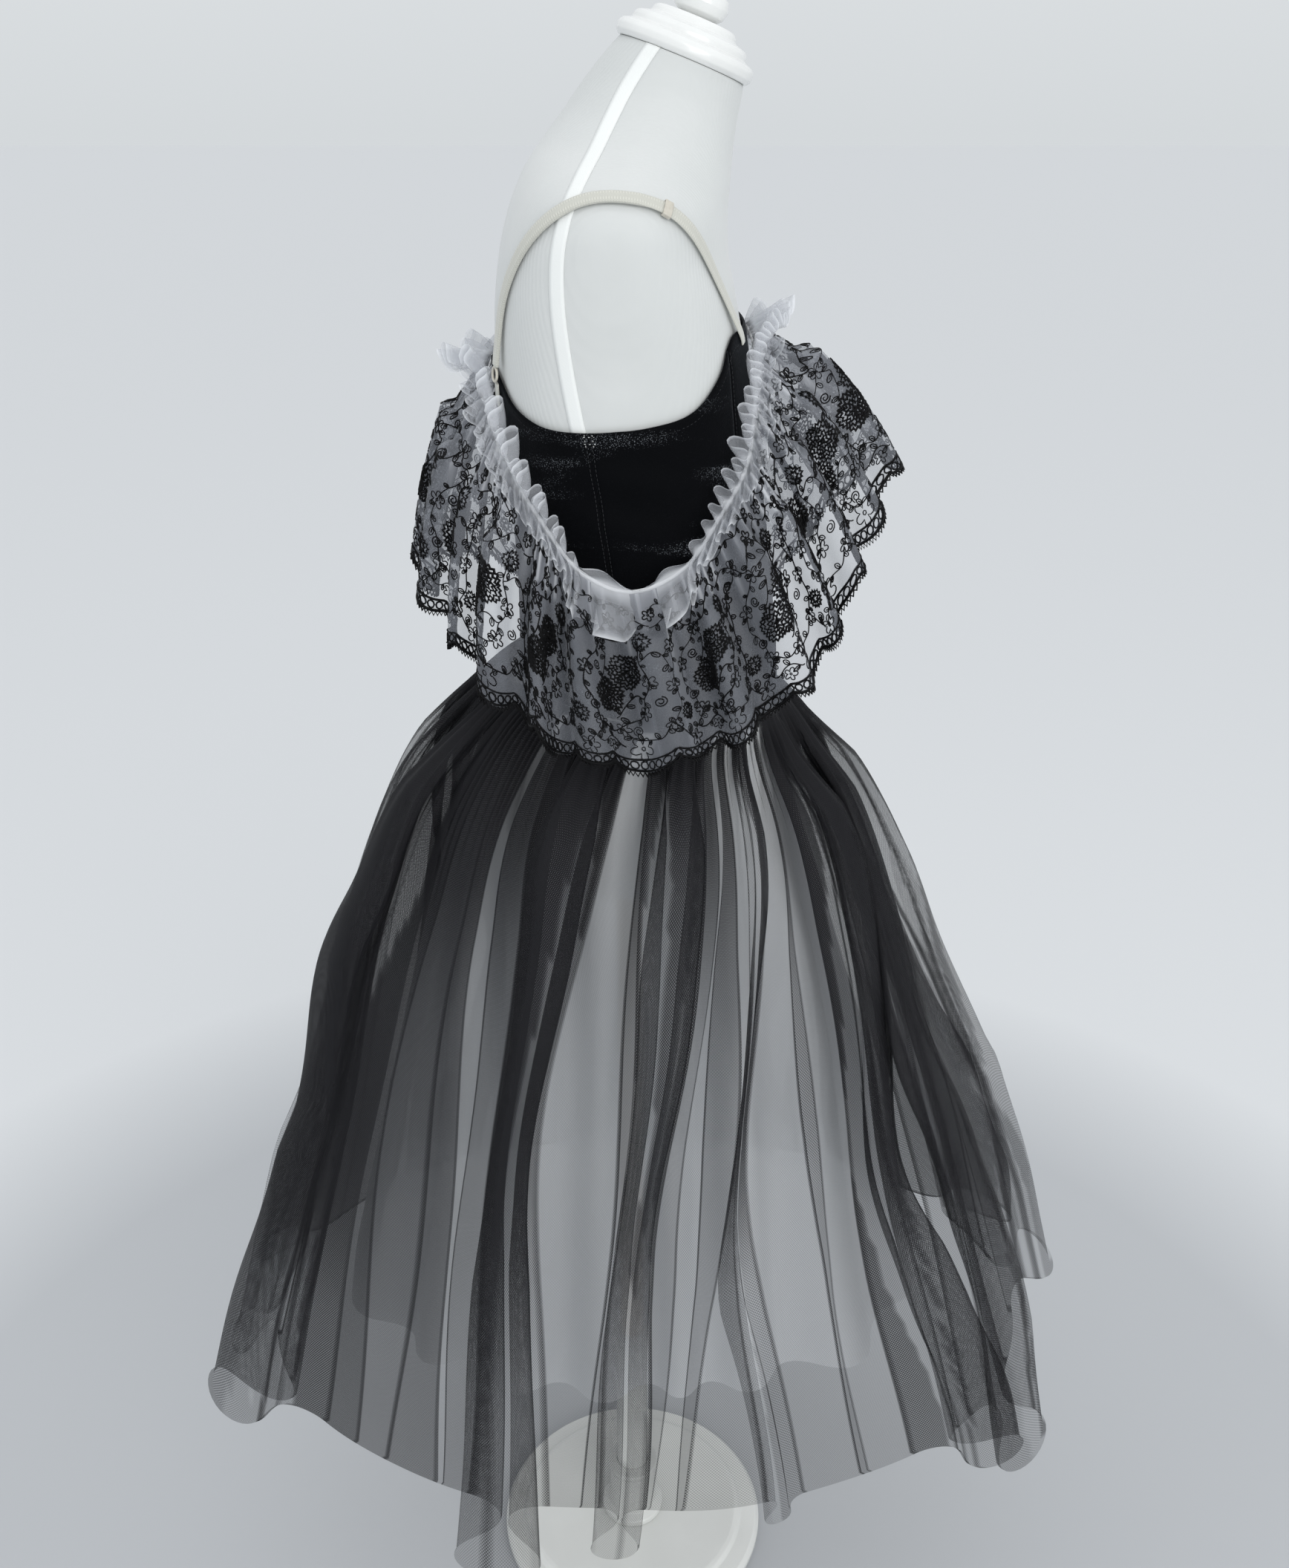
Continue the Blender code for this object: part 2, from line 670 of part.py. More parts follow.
def skirt_outline(level):
    """The trough line of the skirt at one level, from centre back through the right side."""
    points = []
    outwards = []
    middle = (level.back - level.front) / 2
    half_depth = (level.back + level.front) / 2
    for angle in np.linspace(0, 2 * math.pi, 145):
        x, along = superellipse(angle, level.side, half_depth, SKIRT_BOXINESS)
        y = middle - along
        settle = min(1.0, level.drop / (WAIST_FRONT_HEIGHT - HEM_HEIGHT))
        top = waist_height(np.clip(y, -WAIST_FRONT_REACH, WAIST_BACK_REACH)) - SEAM_GAP
        z = top - (top - HEM_HEIGHT) * settle
        points.append((x, y, z))
        outward = np.array([-half_depth * math.sin(angle), level.side * math.cos(angle), 0.0])
        outwards.append(outward / np.linalg.norm(outward))
    return Outline(points, outwards, closed=True)


def share_at_angle(outline, degrees):
    """Where a bearing from the pole meets the outline, as a share of its length."""
    bearing = np.unwrap(np.arctan2(-outline.points[:, 0], outline.points[:, 1]))
    return np.interp(np.radians(degrees), bearing, outline.reach)


def hung_rows(levels, folds, samples):
    """Rows of a gathered skirt, whose folds widen on the way down to where they hang."""
    cloth = column(folds, "cloth")
    late = column(folds, "late")
    ends = np.concatenate([[0.0], column(folds, "until")])
    number = np.arange(len(folds))
    grid = []
    for level in levels:
        outline = skirt_outline(level)
        down = level.drop / levels[-1].drop
        hung = share_at_angle(outline, ends)
        settled = down**late
        widths = (cloth / cloth.sum()) ** (1 - settled) * np.diff(hung) ** settled
        starts = hung[0] + np.concatenate([[0], np.cumsum(widths)]) / widths.sum()
        wander = np.sin(number * WANDER_PER_FOLD + level.drop * WANDER_PER_METRE)
        wander *= TILT_WANDER * math.sin(math.pi * down**0.8)
        tilts = column(folds, "tilt") * (down**TILT_SETTLES + wander)
        row = []
        for i, fold in enumerate(folds):
            width = (starts[i + 1] - starts[i]) * outline.length
            fullness = min(level.fullest, fold.cloth / width)
            lean = float(np.interp(fullness, FULLNESS, LEAN))
            for step, height in zip(*fold_shape(lean, samples[i])):
                place = step + tilts[i] * height * fold.depth
                point, outward = outline.at(starts[i] + (starts[i + 1] - starts[i]) * place)
                row.append(point + outward * height * width * fold.depth)
        grid.append(row)
    return grid


def build_skirt(tulle):
    samples = [SKIRT_POINTS_PER_FLUTE if fold.tilt else SKIRT_POINTS_PER_FLAT for fold in SKIRT_FOLDS]
    grid = hung_rows(SKIRT_LEVELS, SKIRT_FOLDS, samples)
    cloth_wall("skirt", grid, TULLE_THICKNESS, tulle, closed=True)


def ruffle_lines(side):
    """Smooth elastic line and hem line of one half of the ruffle, front to back."""
    rows = RUFFLE_LOOP
    places = np.arange(len(rows), dtype=float)
    wanted = np.linspace(0, len(rows) - 1, RUFFLE_LINE_POINTS)
    fields = {f: curve_through(places, column(rows, f), wanted) for f in Loop._fields}
    top = np.stack([side * fields["out"], fields["y"], fields["z"]], axis=1)
    hem = np.stack([side * fields["hem_out"], fields["hem_y"], fields["hem_z"]], axis=1)
    return top, hem, fields["frill"], fields["lean"]


def ruffle_frame(side):
    """Elastic line with its run, outward and fall directions."""
    top, hem, frill, lean = ruffle_lines(side)
    run = np.gradient(top, axis=0)
    run[0] = (side, 0, 0)
    run[-1] = (-side, 0, 0)
    run /= np.linalg.norm(run, axis=1, keepdims=True)
    fall = hem - top
    fall -= run * np.sum(fall * run, axis=1, keepdims=True)
    fall /= np.linalg.norm(fall, axis=1, keepdims=True)
    outward = np.cross(run, fall)
    away = top * np.array([1.0, 1.0, 0.0])
    flip = np.sign(np.sum(outward * away, axis=1, keepdims=True))
    return top, hem, run, outward * flip, fall, frill, lean


def build_elastic(name, side, material):
    """The narrow flat elastic that carries the frill and the flounce."""
    top, _, _, outward, fall, _, _ = ruffle_frame(side)
    points = []
    half_high = ELASTIC_HEIGHT / 2
    half_deep = ELASTIC_THICKNESS / 2
    picks = np.linspace(0, len(top) - 1, ELASTIC_SECTIONS).astype(int)
    seam = np.array([side * TOUCH_GAP / 2, 0, 0])
    for i in picks:
        at_seam = seam if i in (0, len(top) - 1) else 0
        for a, b in ((-1, -1), (1, -1), (1, 1), (-1, 1)):
            points.append(top[i] + at_seam + outward[i] * a * half_deep + fall[i] * b * half_high)
    faces = []
    for i in range(len(picks) - 1):
        for k in range(4):
            n = (k + 1) % 4
            faces.append([4 * i + k, 4 * i + n, 4 * i + 4 + n, 4 * i + 4 + k])
    last = 4 * (len(picks) - 1)
    faces += [[3, 2, 1, 0], [last, last + 1, last + 2, last + 3]]
    add_mesh(name, points, faces, material, smooth_angle=40)


def build_flounce(name, side, material):
    """Half of the lace flounce: small gathers at the elastic that open into hanging folds."""
    top, hem, run, outward, fall, _, _ = ruffle_frame(side)
    shares = np.array(FLOUNCE_FOLDS[side])
    cloth = shares / shares.sum() * FLOUNCE_CLOTH_WIDTH / 2
    borders = np.concatenate([[0], np.cumsum(cloth)]) / cloth.sum()
    clear = ELASTIC_HEIGHT / 2 + 3 * TOUCH_GAP
    grid = []
    count = len(cloth) * FLOUNCE_POINTS_PER_FOLD + 1
    for down, fullness in FLOUNCE_ROWS:
        start = top + fall * clear
        line = start + (hem - start) * down
        line = line + outward * FLOUNCE_BELLY * math.sin(math.pi * down)
        outline = Outline(line, outward)
        row = folded_row(borders, cloth, outline, FLOUNCE_POINTS_PER_FOLD, fullness)
        row.append(line[-1])
        row = np.array(row)
        if down == 1.0:
            flat = np.linspace(0, FLOUNCE_CLOTH_WIDTH / 2, count)
            bulge = np.abs(np.sin(math.pi * flat / SCALLOP_WIDTH)) ** 0.7
            row += np.array([0, 0, -1]) * (bulge[:, None] - 0.5) * SCALLOP_DROP
        row[0, 0] += side * TOUCH_GAP
        row[-1, 0] += side * TOUCH_GAP
        grid.append(row)
    cloth_wall(name, grid, LACE_THICKNESS, material)


def build_frill(name, side, material):
    """Half of the organza heading, a close wavy strip that stands off the elastic."""
    top, _, run, outward, fall, frill, lean = ruffle_frame(side)
    tilt = np.radians(lean)
    away = -fall * np.sin(tilt)[:, None] + outward * np.cos(tilt)[:, None]
    wave_axis = np.cross(run, away)
    wave_axis *= np.sign(-np.sum(wave_axis * fall, axis=1, keepdims=True))
    foot = top + outward * (ELASTIC_THICKNESS / 2 + FRILL_STANDOFF) - fall * (ELASTIC_HEIGHT / 2)
    borders = np.linspace(0, 1, FRILL_FOLDS + 1)
    wobble = 0.35 / FRILL_FOLDS
    borders[1:-1] += wobble * np.sin(np.arange(1, FRILL_FOLDS) * 2.4)
    grid = []
    for up, depth in FRILL_ROWS:
        line = foot + away * (frill * up)[:, None]
        outline = Outline(line, wave_axis)
        row = []
        for i in range(FRILL_FOLDS):
            for k in range(FRILL_POINTS_PER_FOLD):
                share = k / FRILL_POINTS_PER_FOLD
                point, sideways = outline.at(borders[i] + (borders[i + 1] - borders[i]) * share)
                row.append(point + sideways * depth * math.sin(2 * math.pi * share))
        row.append(line[-1])
        row = np.array(row)
        row[0, 0] += side * 3 * TOUCH_GAP
        row[-1, 0] += side * 3 * TOUCH_GAP
        grid.append(row)
    cloth_wall(name, grid, ORGANZA_THICKNESS, material)


def smoothed(values, rounds=3):
    for _ in range(rounds):
        values[1:-1] = values[1:-1] / 2 + (values[2:] + values[:-2]) / 4
    return values


def band(name, centre, outward, width, thickness, material):
    """A flat band along a line of points, with a thickness at each point."""
    run = np.gradient(centre, axis=0)
    across = np.cross(run, outward)
    across /= np.linalg.norm(across, axis=1, keepdims=True)
    up = np.cross(across, run)
    up /= np.linalg.norm(up, axis=1, keepdims=True)
    up *= np.sign(np.sum(up * outward, axis=1, keepdims=True))
    points = []
    for i in range(len(centre)):
        for a, b in ((-1, -1), (1, -1), (1, 1), (-1, 1)):
            points.append(centre[i] + across[i] * a * width / 2 + up[i] * b * thickness[i] / 2)
    faces = []
    for i in range(len(centre) - 1):
        for k in range(4):
            n = (k + 1) % 4
            faces.append([4 * i + k, 4 * i + n, 4 * i + 4 + n, 4 * i + 4 + k])
    last = 4 * (len(centre) - 1)
    faces += [[3, 2, 1, 0], [last, last + 1, last + 2, last + 3]]
    add_mesh(name, points, faces, material, smooth_angle=40)
    return across, up


def sleeve(name, place, axes, inner, material):
    """A small rectangular loop round the strap; inner is its clear width and height."""
    across, up, along = axes
    points = []
    for end in (-1, 1):
        for grow in (0, SLIDER_WALL):
            for a, b in ((-1, -1), (1, -1), (1, 1), (-1, 1)):
                corner = across * a * (inner[0] / 2 + grow) + up * b * (inner[1] / 2 + grow)
                points.append(place + corner + along * end * SLIDER_LENGTH / 2)
    faces = []
    for k in range(4):
        n = (k + 1) % 4
        faces.append([k, n, n + 4, k + 4])
        faces.append([k + 8, n + 8, n + 12, k + 12])
        faces.append([k, n, n + 8, k + 8])
        faces.append([k + 4, n + 4, n + 12, k + 12])
    add_mesh(name, points, faces, material, smooth_angle=30)


def wire_ring(name, middle, down, face, material, around=16, wire=6):
    """A ring of round wire that lies square to face."""
    sideways = np.cross(down, face)
    points = []
    faces = []
    for i in range(around):
        turn = 2 * math.pi * i / around
        spoke = down * math.cos(turn) + sideways * math.sin(turn)
        for k in range(wire):
            twist = 2 * math.pi * k / wire
            offset = spoke * math.cos(twist) + face * math.sin(twist)
            points.append(middle + spoke * RING_RADIUS + offset * RING_WIRE)
            n, m = (i + 1) % around, (k + 1) % wire
            faces.append([i * wire + k, n * wire + k, n * wire + m, i * wire + m])
    add_mesh(name, points, faces, material)


def build_strap(side, label, torso_tree, elastic, metal):
    """A strap that lies over the shoulder, doubled behind its slider, with ring and tab."""
    places = np.arange(len(STRAP_ROUTE), dtype=float)
    wanted = np.linspace(0, len(STRAP_ROUTE) - 1, STRAP_SECTIONS)
    x, y, z, lift = [curve_through(places, column(STRAP_ROUTE, f), wanted) for f in RoutePoint._fields]
    centre = []
    outward = []
    for point in np.stack([side * x, y, z], axis=1):
        hit, normal, _, _ = torso_tree.find_nearest(Vector(point))
        centre.append(np.array(hit))
        outward.append(np.array(normal))
    outward = smoothed(np.array(outward), rounds=6)
    outward /= np.linalg.norm(outward, axis=1, keepdims=True)
    centre = smoothed(np.array(centre) + outward * lift[:, None])
    for i, point in enumerate(centre):
        hit, normal, _, distance = torso_tree.find_nearest(Vector(point))
        inside = (Vector(point) - hit).dot(normal) < 0
        short = lift[i] + (distance if inside else -distance)
        centre[i] = point + np.array(normal) * max(0.0, short)
    centre = smoothed(centre, rounds=1)
    share = wanted / wanted[-1]
    doubled = 2 * STRAP_THICKNESS + TOUCH_GAP
    thickness = np.where(share < STRAP_DOUBLED_FROM, STRAP_THICKNESS, doubled)
    across, up = band("strap_" + label, centre, outward, STRAP_WIDTH, thickness, elastic)

    joint = int(np.argmax(share >= STRAP_DOUBLED_FROM)) - 2
    along = centre[joint + 1] - centre[joint - 1]
    along /= np.linalg.norm(along)
    inner = (STRAP_WIDTH + SLIDER_ROOM, STRAP_THICKNESS + SLIDER_ROOM)
    sleeve("slider_" + label, centre[joint], (across[joint], up[joint], along), inner, metal)

    down = centre[-1] - centre[-3]
    down /= np.linalg.norm(down)
    ring_middle = centre[-1] + down * (RING_RADIUS + RING_WIRE + TOUCH_GAP)
    face = up[-1] - down * np.dot(up[-1], down)
    face /= np.linalg.norm(face)
    wire_ring("ring_" + label, ring_middle, down, face, metal)

    start = ring_middle + down * (RING_RADIUS + RING_WIRE + TOUCH_GAP)
    tab = []
    facing = []
    for step in np.linspace(0, TAB_LENGTH, 5):
        hit, normal, _, _ = torso_tree.find_nearest(Vector(start + down * step))
        tab.append(np.array(hit + normal * TAB_LIFT))
        facing.append(np.array(normal))
    thick = np.full(5, STRAP_THICKNESS)
    band("tab_" + label, np.array(tab), np.array(facing), STRAP_WIDTH, thick, elastic)


def build_underskirt(sheer):
    """A narrower sheer layer, cut with a flare, that hangs straighter inside the skirt."""
    shares = np.array(UNDERSKIRT_FOLDS) / sum(UNDERSKIRT_FOLDS)
    folds = [
        Fold(until, width, 0.0, 1.0, 0.6)
        for until, width in zip(np.cumsum(shares) * 360, shares * UNDERSKIRT_CLOTH_WIDTH)
    ]
    grid = hung_rows(UNDERSKIRT_LEVELS, folds, [UNDERSKIRT_POINTS_PER_FOLD] * len(folds))
    cloth_wall("underskirt", grid, TULLE_THICKNESS, sheer, closed=True)


def main():
    clear_scene()
    jersey = finish("cover_jersey", (0.62, 0.64, 0.63), 0.9)
    gloss = finish("white_lacquer", (0.72, 0.73, 0.71), 0.25)
    wood = finish("pole_wood", (0.55, 0.42, 0.28), 0.5)
    velvet = finish("black_velvet", (0.008, 0.009, 0.011), 0.8)
    cream = finish("cream_elastic", (0.62, 0.58, 0.52), 0.6)
    organza = finish("white_organza", (0.45, 0.47, 0.50), 0.6)
    lace = finish("lace", (0.10, 0.10, 0.12), 0.7)
    tulle = finish("black_tulle", (0.03, 0.03, 0.035), 0.8)
    sheer = finish("white_sheer", (0.60, 0.62, 0.64), 0.8)
    metal = finish("ring_metal", (0.75, 0.74, 0.72), 0.3, 0.8)
    torso = build_torso(jersey)
    torso_tree = BVHTree.FromObject(torso, bpy.context.evaluated_depsgraph_get())
    build_stand(gloss, wood)
    build_neck_cap(gloss)
    build_bodice(velvet)
    for side, label in ((RIGHT, "right"), (LEFT, "left")):
        build_elastic("elastic_" + label, side, cream)
        build_flounce("flounce_" + label, side, lace)
        build_frill("frill_" + label, side, organza)
        build_strap(side, label, torso_tree, cream, metal)
    build_underskirt(sheer)
    build_skirt(tulle)


main()
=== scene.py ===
import math
from collections import namedtuple

import bmesh
import bpy
import numpy as np
from mathutils import Matrix, Vector
from mathutils.bvhtree import BVHTree


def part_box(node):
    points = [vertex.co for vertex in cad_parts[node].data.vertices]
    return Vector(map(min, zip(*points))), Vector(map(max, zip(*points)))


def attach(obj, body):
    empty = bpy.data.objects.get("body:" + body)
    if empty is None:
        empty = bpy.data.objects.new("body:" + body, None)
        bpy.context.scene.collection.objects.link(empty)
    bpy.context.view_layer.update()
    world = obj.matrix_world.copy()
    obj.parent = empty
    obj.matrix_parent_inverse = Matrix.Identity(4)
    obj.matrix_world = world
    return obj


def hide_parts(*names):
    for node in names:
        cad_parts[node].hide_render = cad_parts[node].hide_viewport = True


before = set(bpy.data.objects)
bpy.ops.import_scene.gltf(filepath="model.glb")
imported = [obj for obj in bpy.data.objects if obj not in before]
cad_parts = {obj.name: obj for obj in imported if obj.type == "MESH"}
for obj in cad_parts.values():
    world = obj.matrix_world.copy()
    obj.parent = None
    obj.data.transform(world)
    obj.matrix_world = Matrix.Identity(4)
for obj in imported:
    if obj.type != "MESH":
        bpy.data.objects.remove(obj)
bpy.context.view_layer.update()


# ---------------------------------------------------------------------------
# The dress form's torso: a hollow moulded shell without limbs, pulled into a
# white jersey cover. Its shape is lofted through the form's measured sections.

RIGHT = -1.0
LEFT = 1.0
SIDES = ((RIGHT, "right"), (LEFT, "left"))
FULL_TURN = 2 * math.pi
TORSO_COLUMNS = 120
TORSO_RINGS = 110

Section = namedtuple("Section", "front_y front_z back_y back_z half_width boxiness")
TORSO_SECTIONS = [
    Section(-0.080, 0.763, 0.076, 0.763, 0.092, 2.1),
    Section(-0.094, 0.769, 0.088, 0.769, 0.107, 2.1),
    Section(-0.103, 0.791, 0.098, 0.791, 0.115, 2.1),
    Section(-0.108, 0.841, 0.099, 0.841, 0.116, 2.1),
    Section(-0.110, 0.891, 0.088, 0.891, 0.107, 2.1),
    Section(-0.107, 0.936, 0.078, 0.936, 0.101, 2.1),
    Section(-0.101, 0.991, 0.077, 0.991, 0.104, 2.2),
    Section(-0.093, 1.051, 0.082, 1.051, 0.112, 2.3),
    Section(-0.086, 1.101, 0.087, 1.101, 0.119, 2.4),
    Section(-0.081, 1.141, 0.089, 1.141, 0.124, 2.5),
    Section(-0.074, 1.176, 0.088, 1.177, 0.130, 2.5),
    Section(-0.068, 1.205, 0.084, 1.208, 0.134, 2.4),
    Section(-0.067, 1.222, 0.079, 1.229, 0.134, 2.3),
    Section(-0.067, 1.234, 0.073, 1.246, 0.127, 2.2),
    Section(-0.068, 1.245, 0.065, 1.262, 0.109, 2.1),
    Section(-0.069, 1.257, 0.054, 1.277, 0.084, 2.0),
    Section(-0.070, 1.270, 0.041, 1.293, 0.064, 2.0),
    Section(-0.072, 1.285, 0.027, 1.311, 0.051, 2.0),
    Section(-0.0745, 1.298, 0.013, 1.327, 0.0460, 2.0),
    Section(-0.0755, 1.3065, 0.0035, 1.3360, 0.0445, 2.0),
]


def column(rows, field):
    return np.array([getattr(row, field) for row in rows], float)


def curve_through(places, values, wanted):
    """Smooth interpolation of a column of a table, without overshoot at its ends."""
    places = np.asarray(places, float)
    values = np.asarray(values, float)
    steps = np.diff(places)
    slopes = np.diff(values) / steps
    between = (slopes[:-1] * steps[1:] + slopes[1:] * steps[:-1]) / (steps[1:] + steps[:-1])
    tangents = np.concatenate([slopes[:1], between, slopes[-1:]])
    wanted = np.clip(np.asarray(wanted, float), places[0], places[-1])
    cell = np.clip(np.searchsorted(places, wanted) - 1, 0, len(steps) - 1)
    width = steps[cell]
    t = (wanted - places[cell]) / width
    return (
        values[cell] * (2 * t**3 - 3 * t**2 + 1)
        + tangents[cell] * width * (t**3 - 2 * t**2 + t)
        + values[cell + 1] * (3 * t**2 - 2 * t**3)
        + tangents[cell + 1] * width * (t**3 - t**2)
    )


def read_table(rows, wanted):
    """All fields of a table, smooth, at any places along its rows."""
    fields = rows[0]._fields
    return type(rows[0])(*(curve_through(range(len(rows)), column(rows, f), wanted) for f in fields))


def powered(values, power):
    """Raised to a power with the sign kept, which squares a circle's sine and cosine off."""
    return np.copysign(np.abs(values) ** power, values)


def superellipse(angle, half_width, half_depth, boxiness):
    """Offset from a section's centre; angle 0 is the front (-Y), 90 degrees the right (-X)."""
    across = powered(np.sin(angle), 2 / boxiness)
    along = powered(np.cos(angle), 2 / boxiness)
    return -across * half_width, -along * half_depth


def unit(vectors):
    return vectors / np.maximum(np.linalg.norm(vectors, axis=-1, keepdims=True), 1e-12)


def reach_along(points):
    """How far each point of a line lies from its start."""
    return np.concatenate([[0], np.cumsum(np.linalg.norm(np.diff(points, axis=0), axis=1))])


def flat_grid(along, down):
    """Places on a flat piece of cloth, a row for each step down."""
    return np.stack(np.meshgrid(along, down), axis=-1)


def torso_point(place, angle):
    """A point of the torso's skin at a place along the table of sections."""
    at = read_table(TORSO_SECTIONS, place)
    half_y = (at.back_y - at.front_y) / 2
    half_z = (at.back_z - at.front_z) / 2
    half_depth = np.hypot(half_y, half_z)
    x, along = superellipse(angle, at.half_width, half_depth, at.boxiness)
    y = (at.front_y + at.back_y) / 2 + along * half_y / half_depth
    z = (at.front_z + at.back_z) / 2 + along * half_z / half_depth
    return np.stack(np.broadcast_arrays(x, y, z), axis=-1)


def new_object(name, data):
    obj = bpy.data.objects.new(name, data)
    bpy.context.scene.collection.objects.link(obj)
    return obj


def corners(values):
    """The four corners of each cell of a grid."""
    return np.stack([values[:-1, :-1], values[:-1, 1:], values[1:, 1:], values[1:, :-1]], axis=2)


def cloth_mesh(name, grid, finish, uv=None, closed=False, caps=False, thickness=0.0, layers=None):
    """An object on a grid of points [row][column], with its flat cloth size as UV in metres,
    and with how many thicknesses of cloth each point stands for."""
    grid = np.asarray(grid, float)
    index = np.arange(grid.shape[0] * grid.shape[1]).reshape(grid.shape[:2])
    if closed:
        index = np.hstack([index, index[:, :1]])
    polygons = corners(index).reshape(-1, 4).tolist()
    if caps:
        polygons += [index[0, -2::-1].tolist(), index[-1, :-1].tolist()]
    mesh = bpy.data.meshes.new(name)
    mesh.from_pydata(grid.reshape(-1, 3).tolist(), [], polygons)
    if uv is not None:
        values = np.zeros((len(mesh.loops), 2))
        corner = corners(np.asarray(uv, float)).reshape(-1, 2)
        values[: len(corner)] = corner
        mesh.uv_layers.new(name="cloth").data.foreach_set("uv", values.ravel())
    turned_out = bmesh.new()
    turned_out.from_mesh(mesh)
    bmesh.ops.recalc_face_normals(turned_out, faces=turned_out.faces)
    turned_out.to_mesh(mesh)
    turned_out.free()
    mesh.shade_smooth()
    mesh.materials.append(finish.material)
    if layers is not None:
        mesh.attributes.new("layers", "FLOAT", "POINT").data.foreach_set("value", layers.ravel())
    obj = new_object(name, mesh)
    if thickness:
        wall = obj.modifiers.new("Cloth thickness", "SOLIDIFY")
        wall.thickness = thickness
        wall.offset = 0.0
        wall.use_even_offset = False
    return obj


def fitted(piece, node=None):
    """Fixes a finished piece to the root and puts it in place of its plain solid."""
    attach(piece, "root")
    if node:
        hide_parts(node)
    return piece


def add_node(tree, kind, inputs=None, **settings):
    node = tree.nodes.new(kind)
    for key, value in settings.items():
        setattr(node, key, value)
    for key, value in (inputs or {}).items():
        if isinstance(value, bpy.types.NodeSocket):
            tree.links.new(value, node.inputs[key])
        else:
            node.inputs[key].default_value = value
    return node


class Finish:
    """A Principled material, and the few patterns that vary its colour and its surface."""

    def __init__(self, name, color, roughness, sockets=None, place="Object"):
        self.material = bpy.data.materials.new(name)
        self.material.use_nodes = True
        self.tree = self.material.node_tree
        self.shader = self.tree.nodes["Principled BSDF"]
        given = {"Base Color": (*color, 1.0), "Roughness": roughness, **(sockets or {})}
        for key, value in given.items():
            self.shader.inputs[key].default_value = value
        self.place = self.node("TexCoord").outputs[place]

    def node(self, kind, inputs=None, **settings):
        return add_node(self.tree, "ShaderNode" + kind, inputs, **settings)

    def link(self, output, socket):
        self.tree.links.new(output, self.shader.inputs[socket])

    def noise(self, scale, detail, place=None):
        inputs = {"Vector": place or self.place, "Scale": scale, "Detail": detail}
        return self.node("TexNoise", inputs).outputs["Fac"]

    def bands(self, scale, distortion, direction="X", **more):
        inputs = {"Vector": self.place, "Scale": scale, "Distortion": distortion, **more}
        return self.node("TexWave", inputs, bands_direction=direction).outputs["Fac"]

    def stretched(self, scale, rotation=(0.0, 0.0, 0.0)):
        """The pattern's place, drawn out or packed by direction."""
        inputs = {"Vector": self.place, "Rotation": rotation, "Scale": scale}
        return self.node("Mapping", inputs).outputs["Vector"]

    def range(self, value, low, high, **settings):
        """0 at and below low, 1 at and above high."""
        inputs = {"Value": value, "From Min": low, "From Max": high}
        return self.node("MapRange", inputs, **settings).outputs["Result"]

    def math(self, operation, *values, **settings):
        return self.node("Math", dict(enumerate(values)), operation=operation, **settings).outputs["Value"]

    def tint(self, factor, dark, light):
        """Colour variation between two near tones."""
        ramp = self.node("ValToRGB", {"Fac": factor})
        for element, color, position in zip(ramp.color_ramp.elements, (dark, light), (0.3, 0.7)):
            element.color = (*color, 1.0)
            element.position = position
        self.link(ramp.outputs["Color"], "Base Color")

    def bump(self, height, strength, distance):
        given = {"Height": height, "Strength": strength, "Distance": distance}
        self.link(self.node("Bump", given).outputs["Normal"], "Normal")


# Single jersey: fine vertical wales and a faint unevenness.
jersey = Finish("jersey", (0.62, 0.635, 0.63), 0.85, {"Sheen Weight": 0.25, "Sheen Roughness": 0.5})
jersey.tint(jersey.noise(9.0, 5.0), (0.58, 0.60, 0.595), (0.65, 0.665, 0.66))
jersey.bump(jersey.bands(130.0, 1.2, Detail=1.0), 0.25, 0.0004)

rings = np.linspace(0, len(TORSO_SECTIONS) - 1, TORSO_RINGS)[:, None]
angles = np.linspace(0, FULL_TURN, TORSO_COLUMNS, endpoint=False)[None, :]
torso = cloth_mesh("torso", torso_point(rings, angles), jersey, closed=True, caps=True)
fitted(torso, "form_torso")
bpy.context.view_layer.update()
torso_skin = BVHTree.FromObject(torso, bpy.context.evaluated_depsgraph_get())


def nearest_on_torso(point):
    hit, normal, _, distance = torso_skin.find_nearest(Vector(point))
    return np.array(hit), np.array(normal), distance


# ---------------------------------------------------------------------------
# The cover's side seams: a woven tape about 10 mm wide, sewn flat over the seam
# from the neck over the shoulder edge and down the armhole plate.

TAPE_HALF_WIDTH = 0.0052
TAPE_THICKNESS = 0.0005
TAPE_LIFT = 0.0003
TAPE_SAMPLES = 60
TAPE_STRANDS = 5
TapePoint = namedtuple("TapePoint", "section angle")
TAPE_ROUTE = [
    TapePoint(7.5, 104),
    TapePoint(9.5, 108),
    TapePoint(11.0, 111),
    TapePoint(12.3, 112),
    TapePoint(14.0, 112),
    TapePoint(16.5, 116),
    TapePoint(19.0, 118),
]

seam_tape = Finish("seam_tape", (0.82, 0.84, 0.83), 0.8, place="UV")
seam_tape.bump(seam_tape.bands(260.0, 0.3, "DIAGONAL"), 0.12, 0.0002)

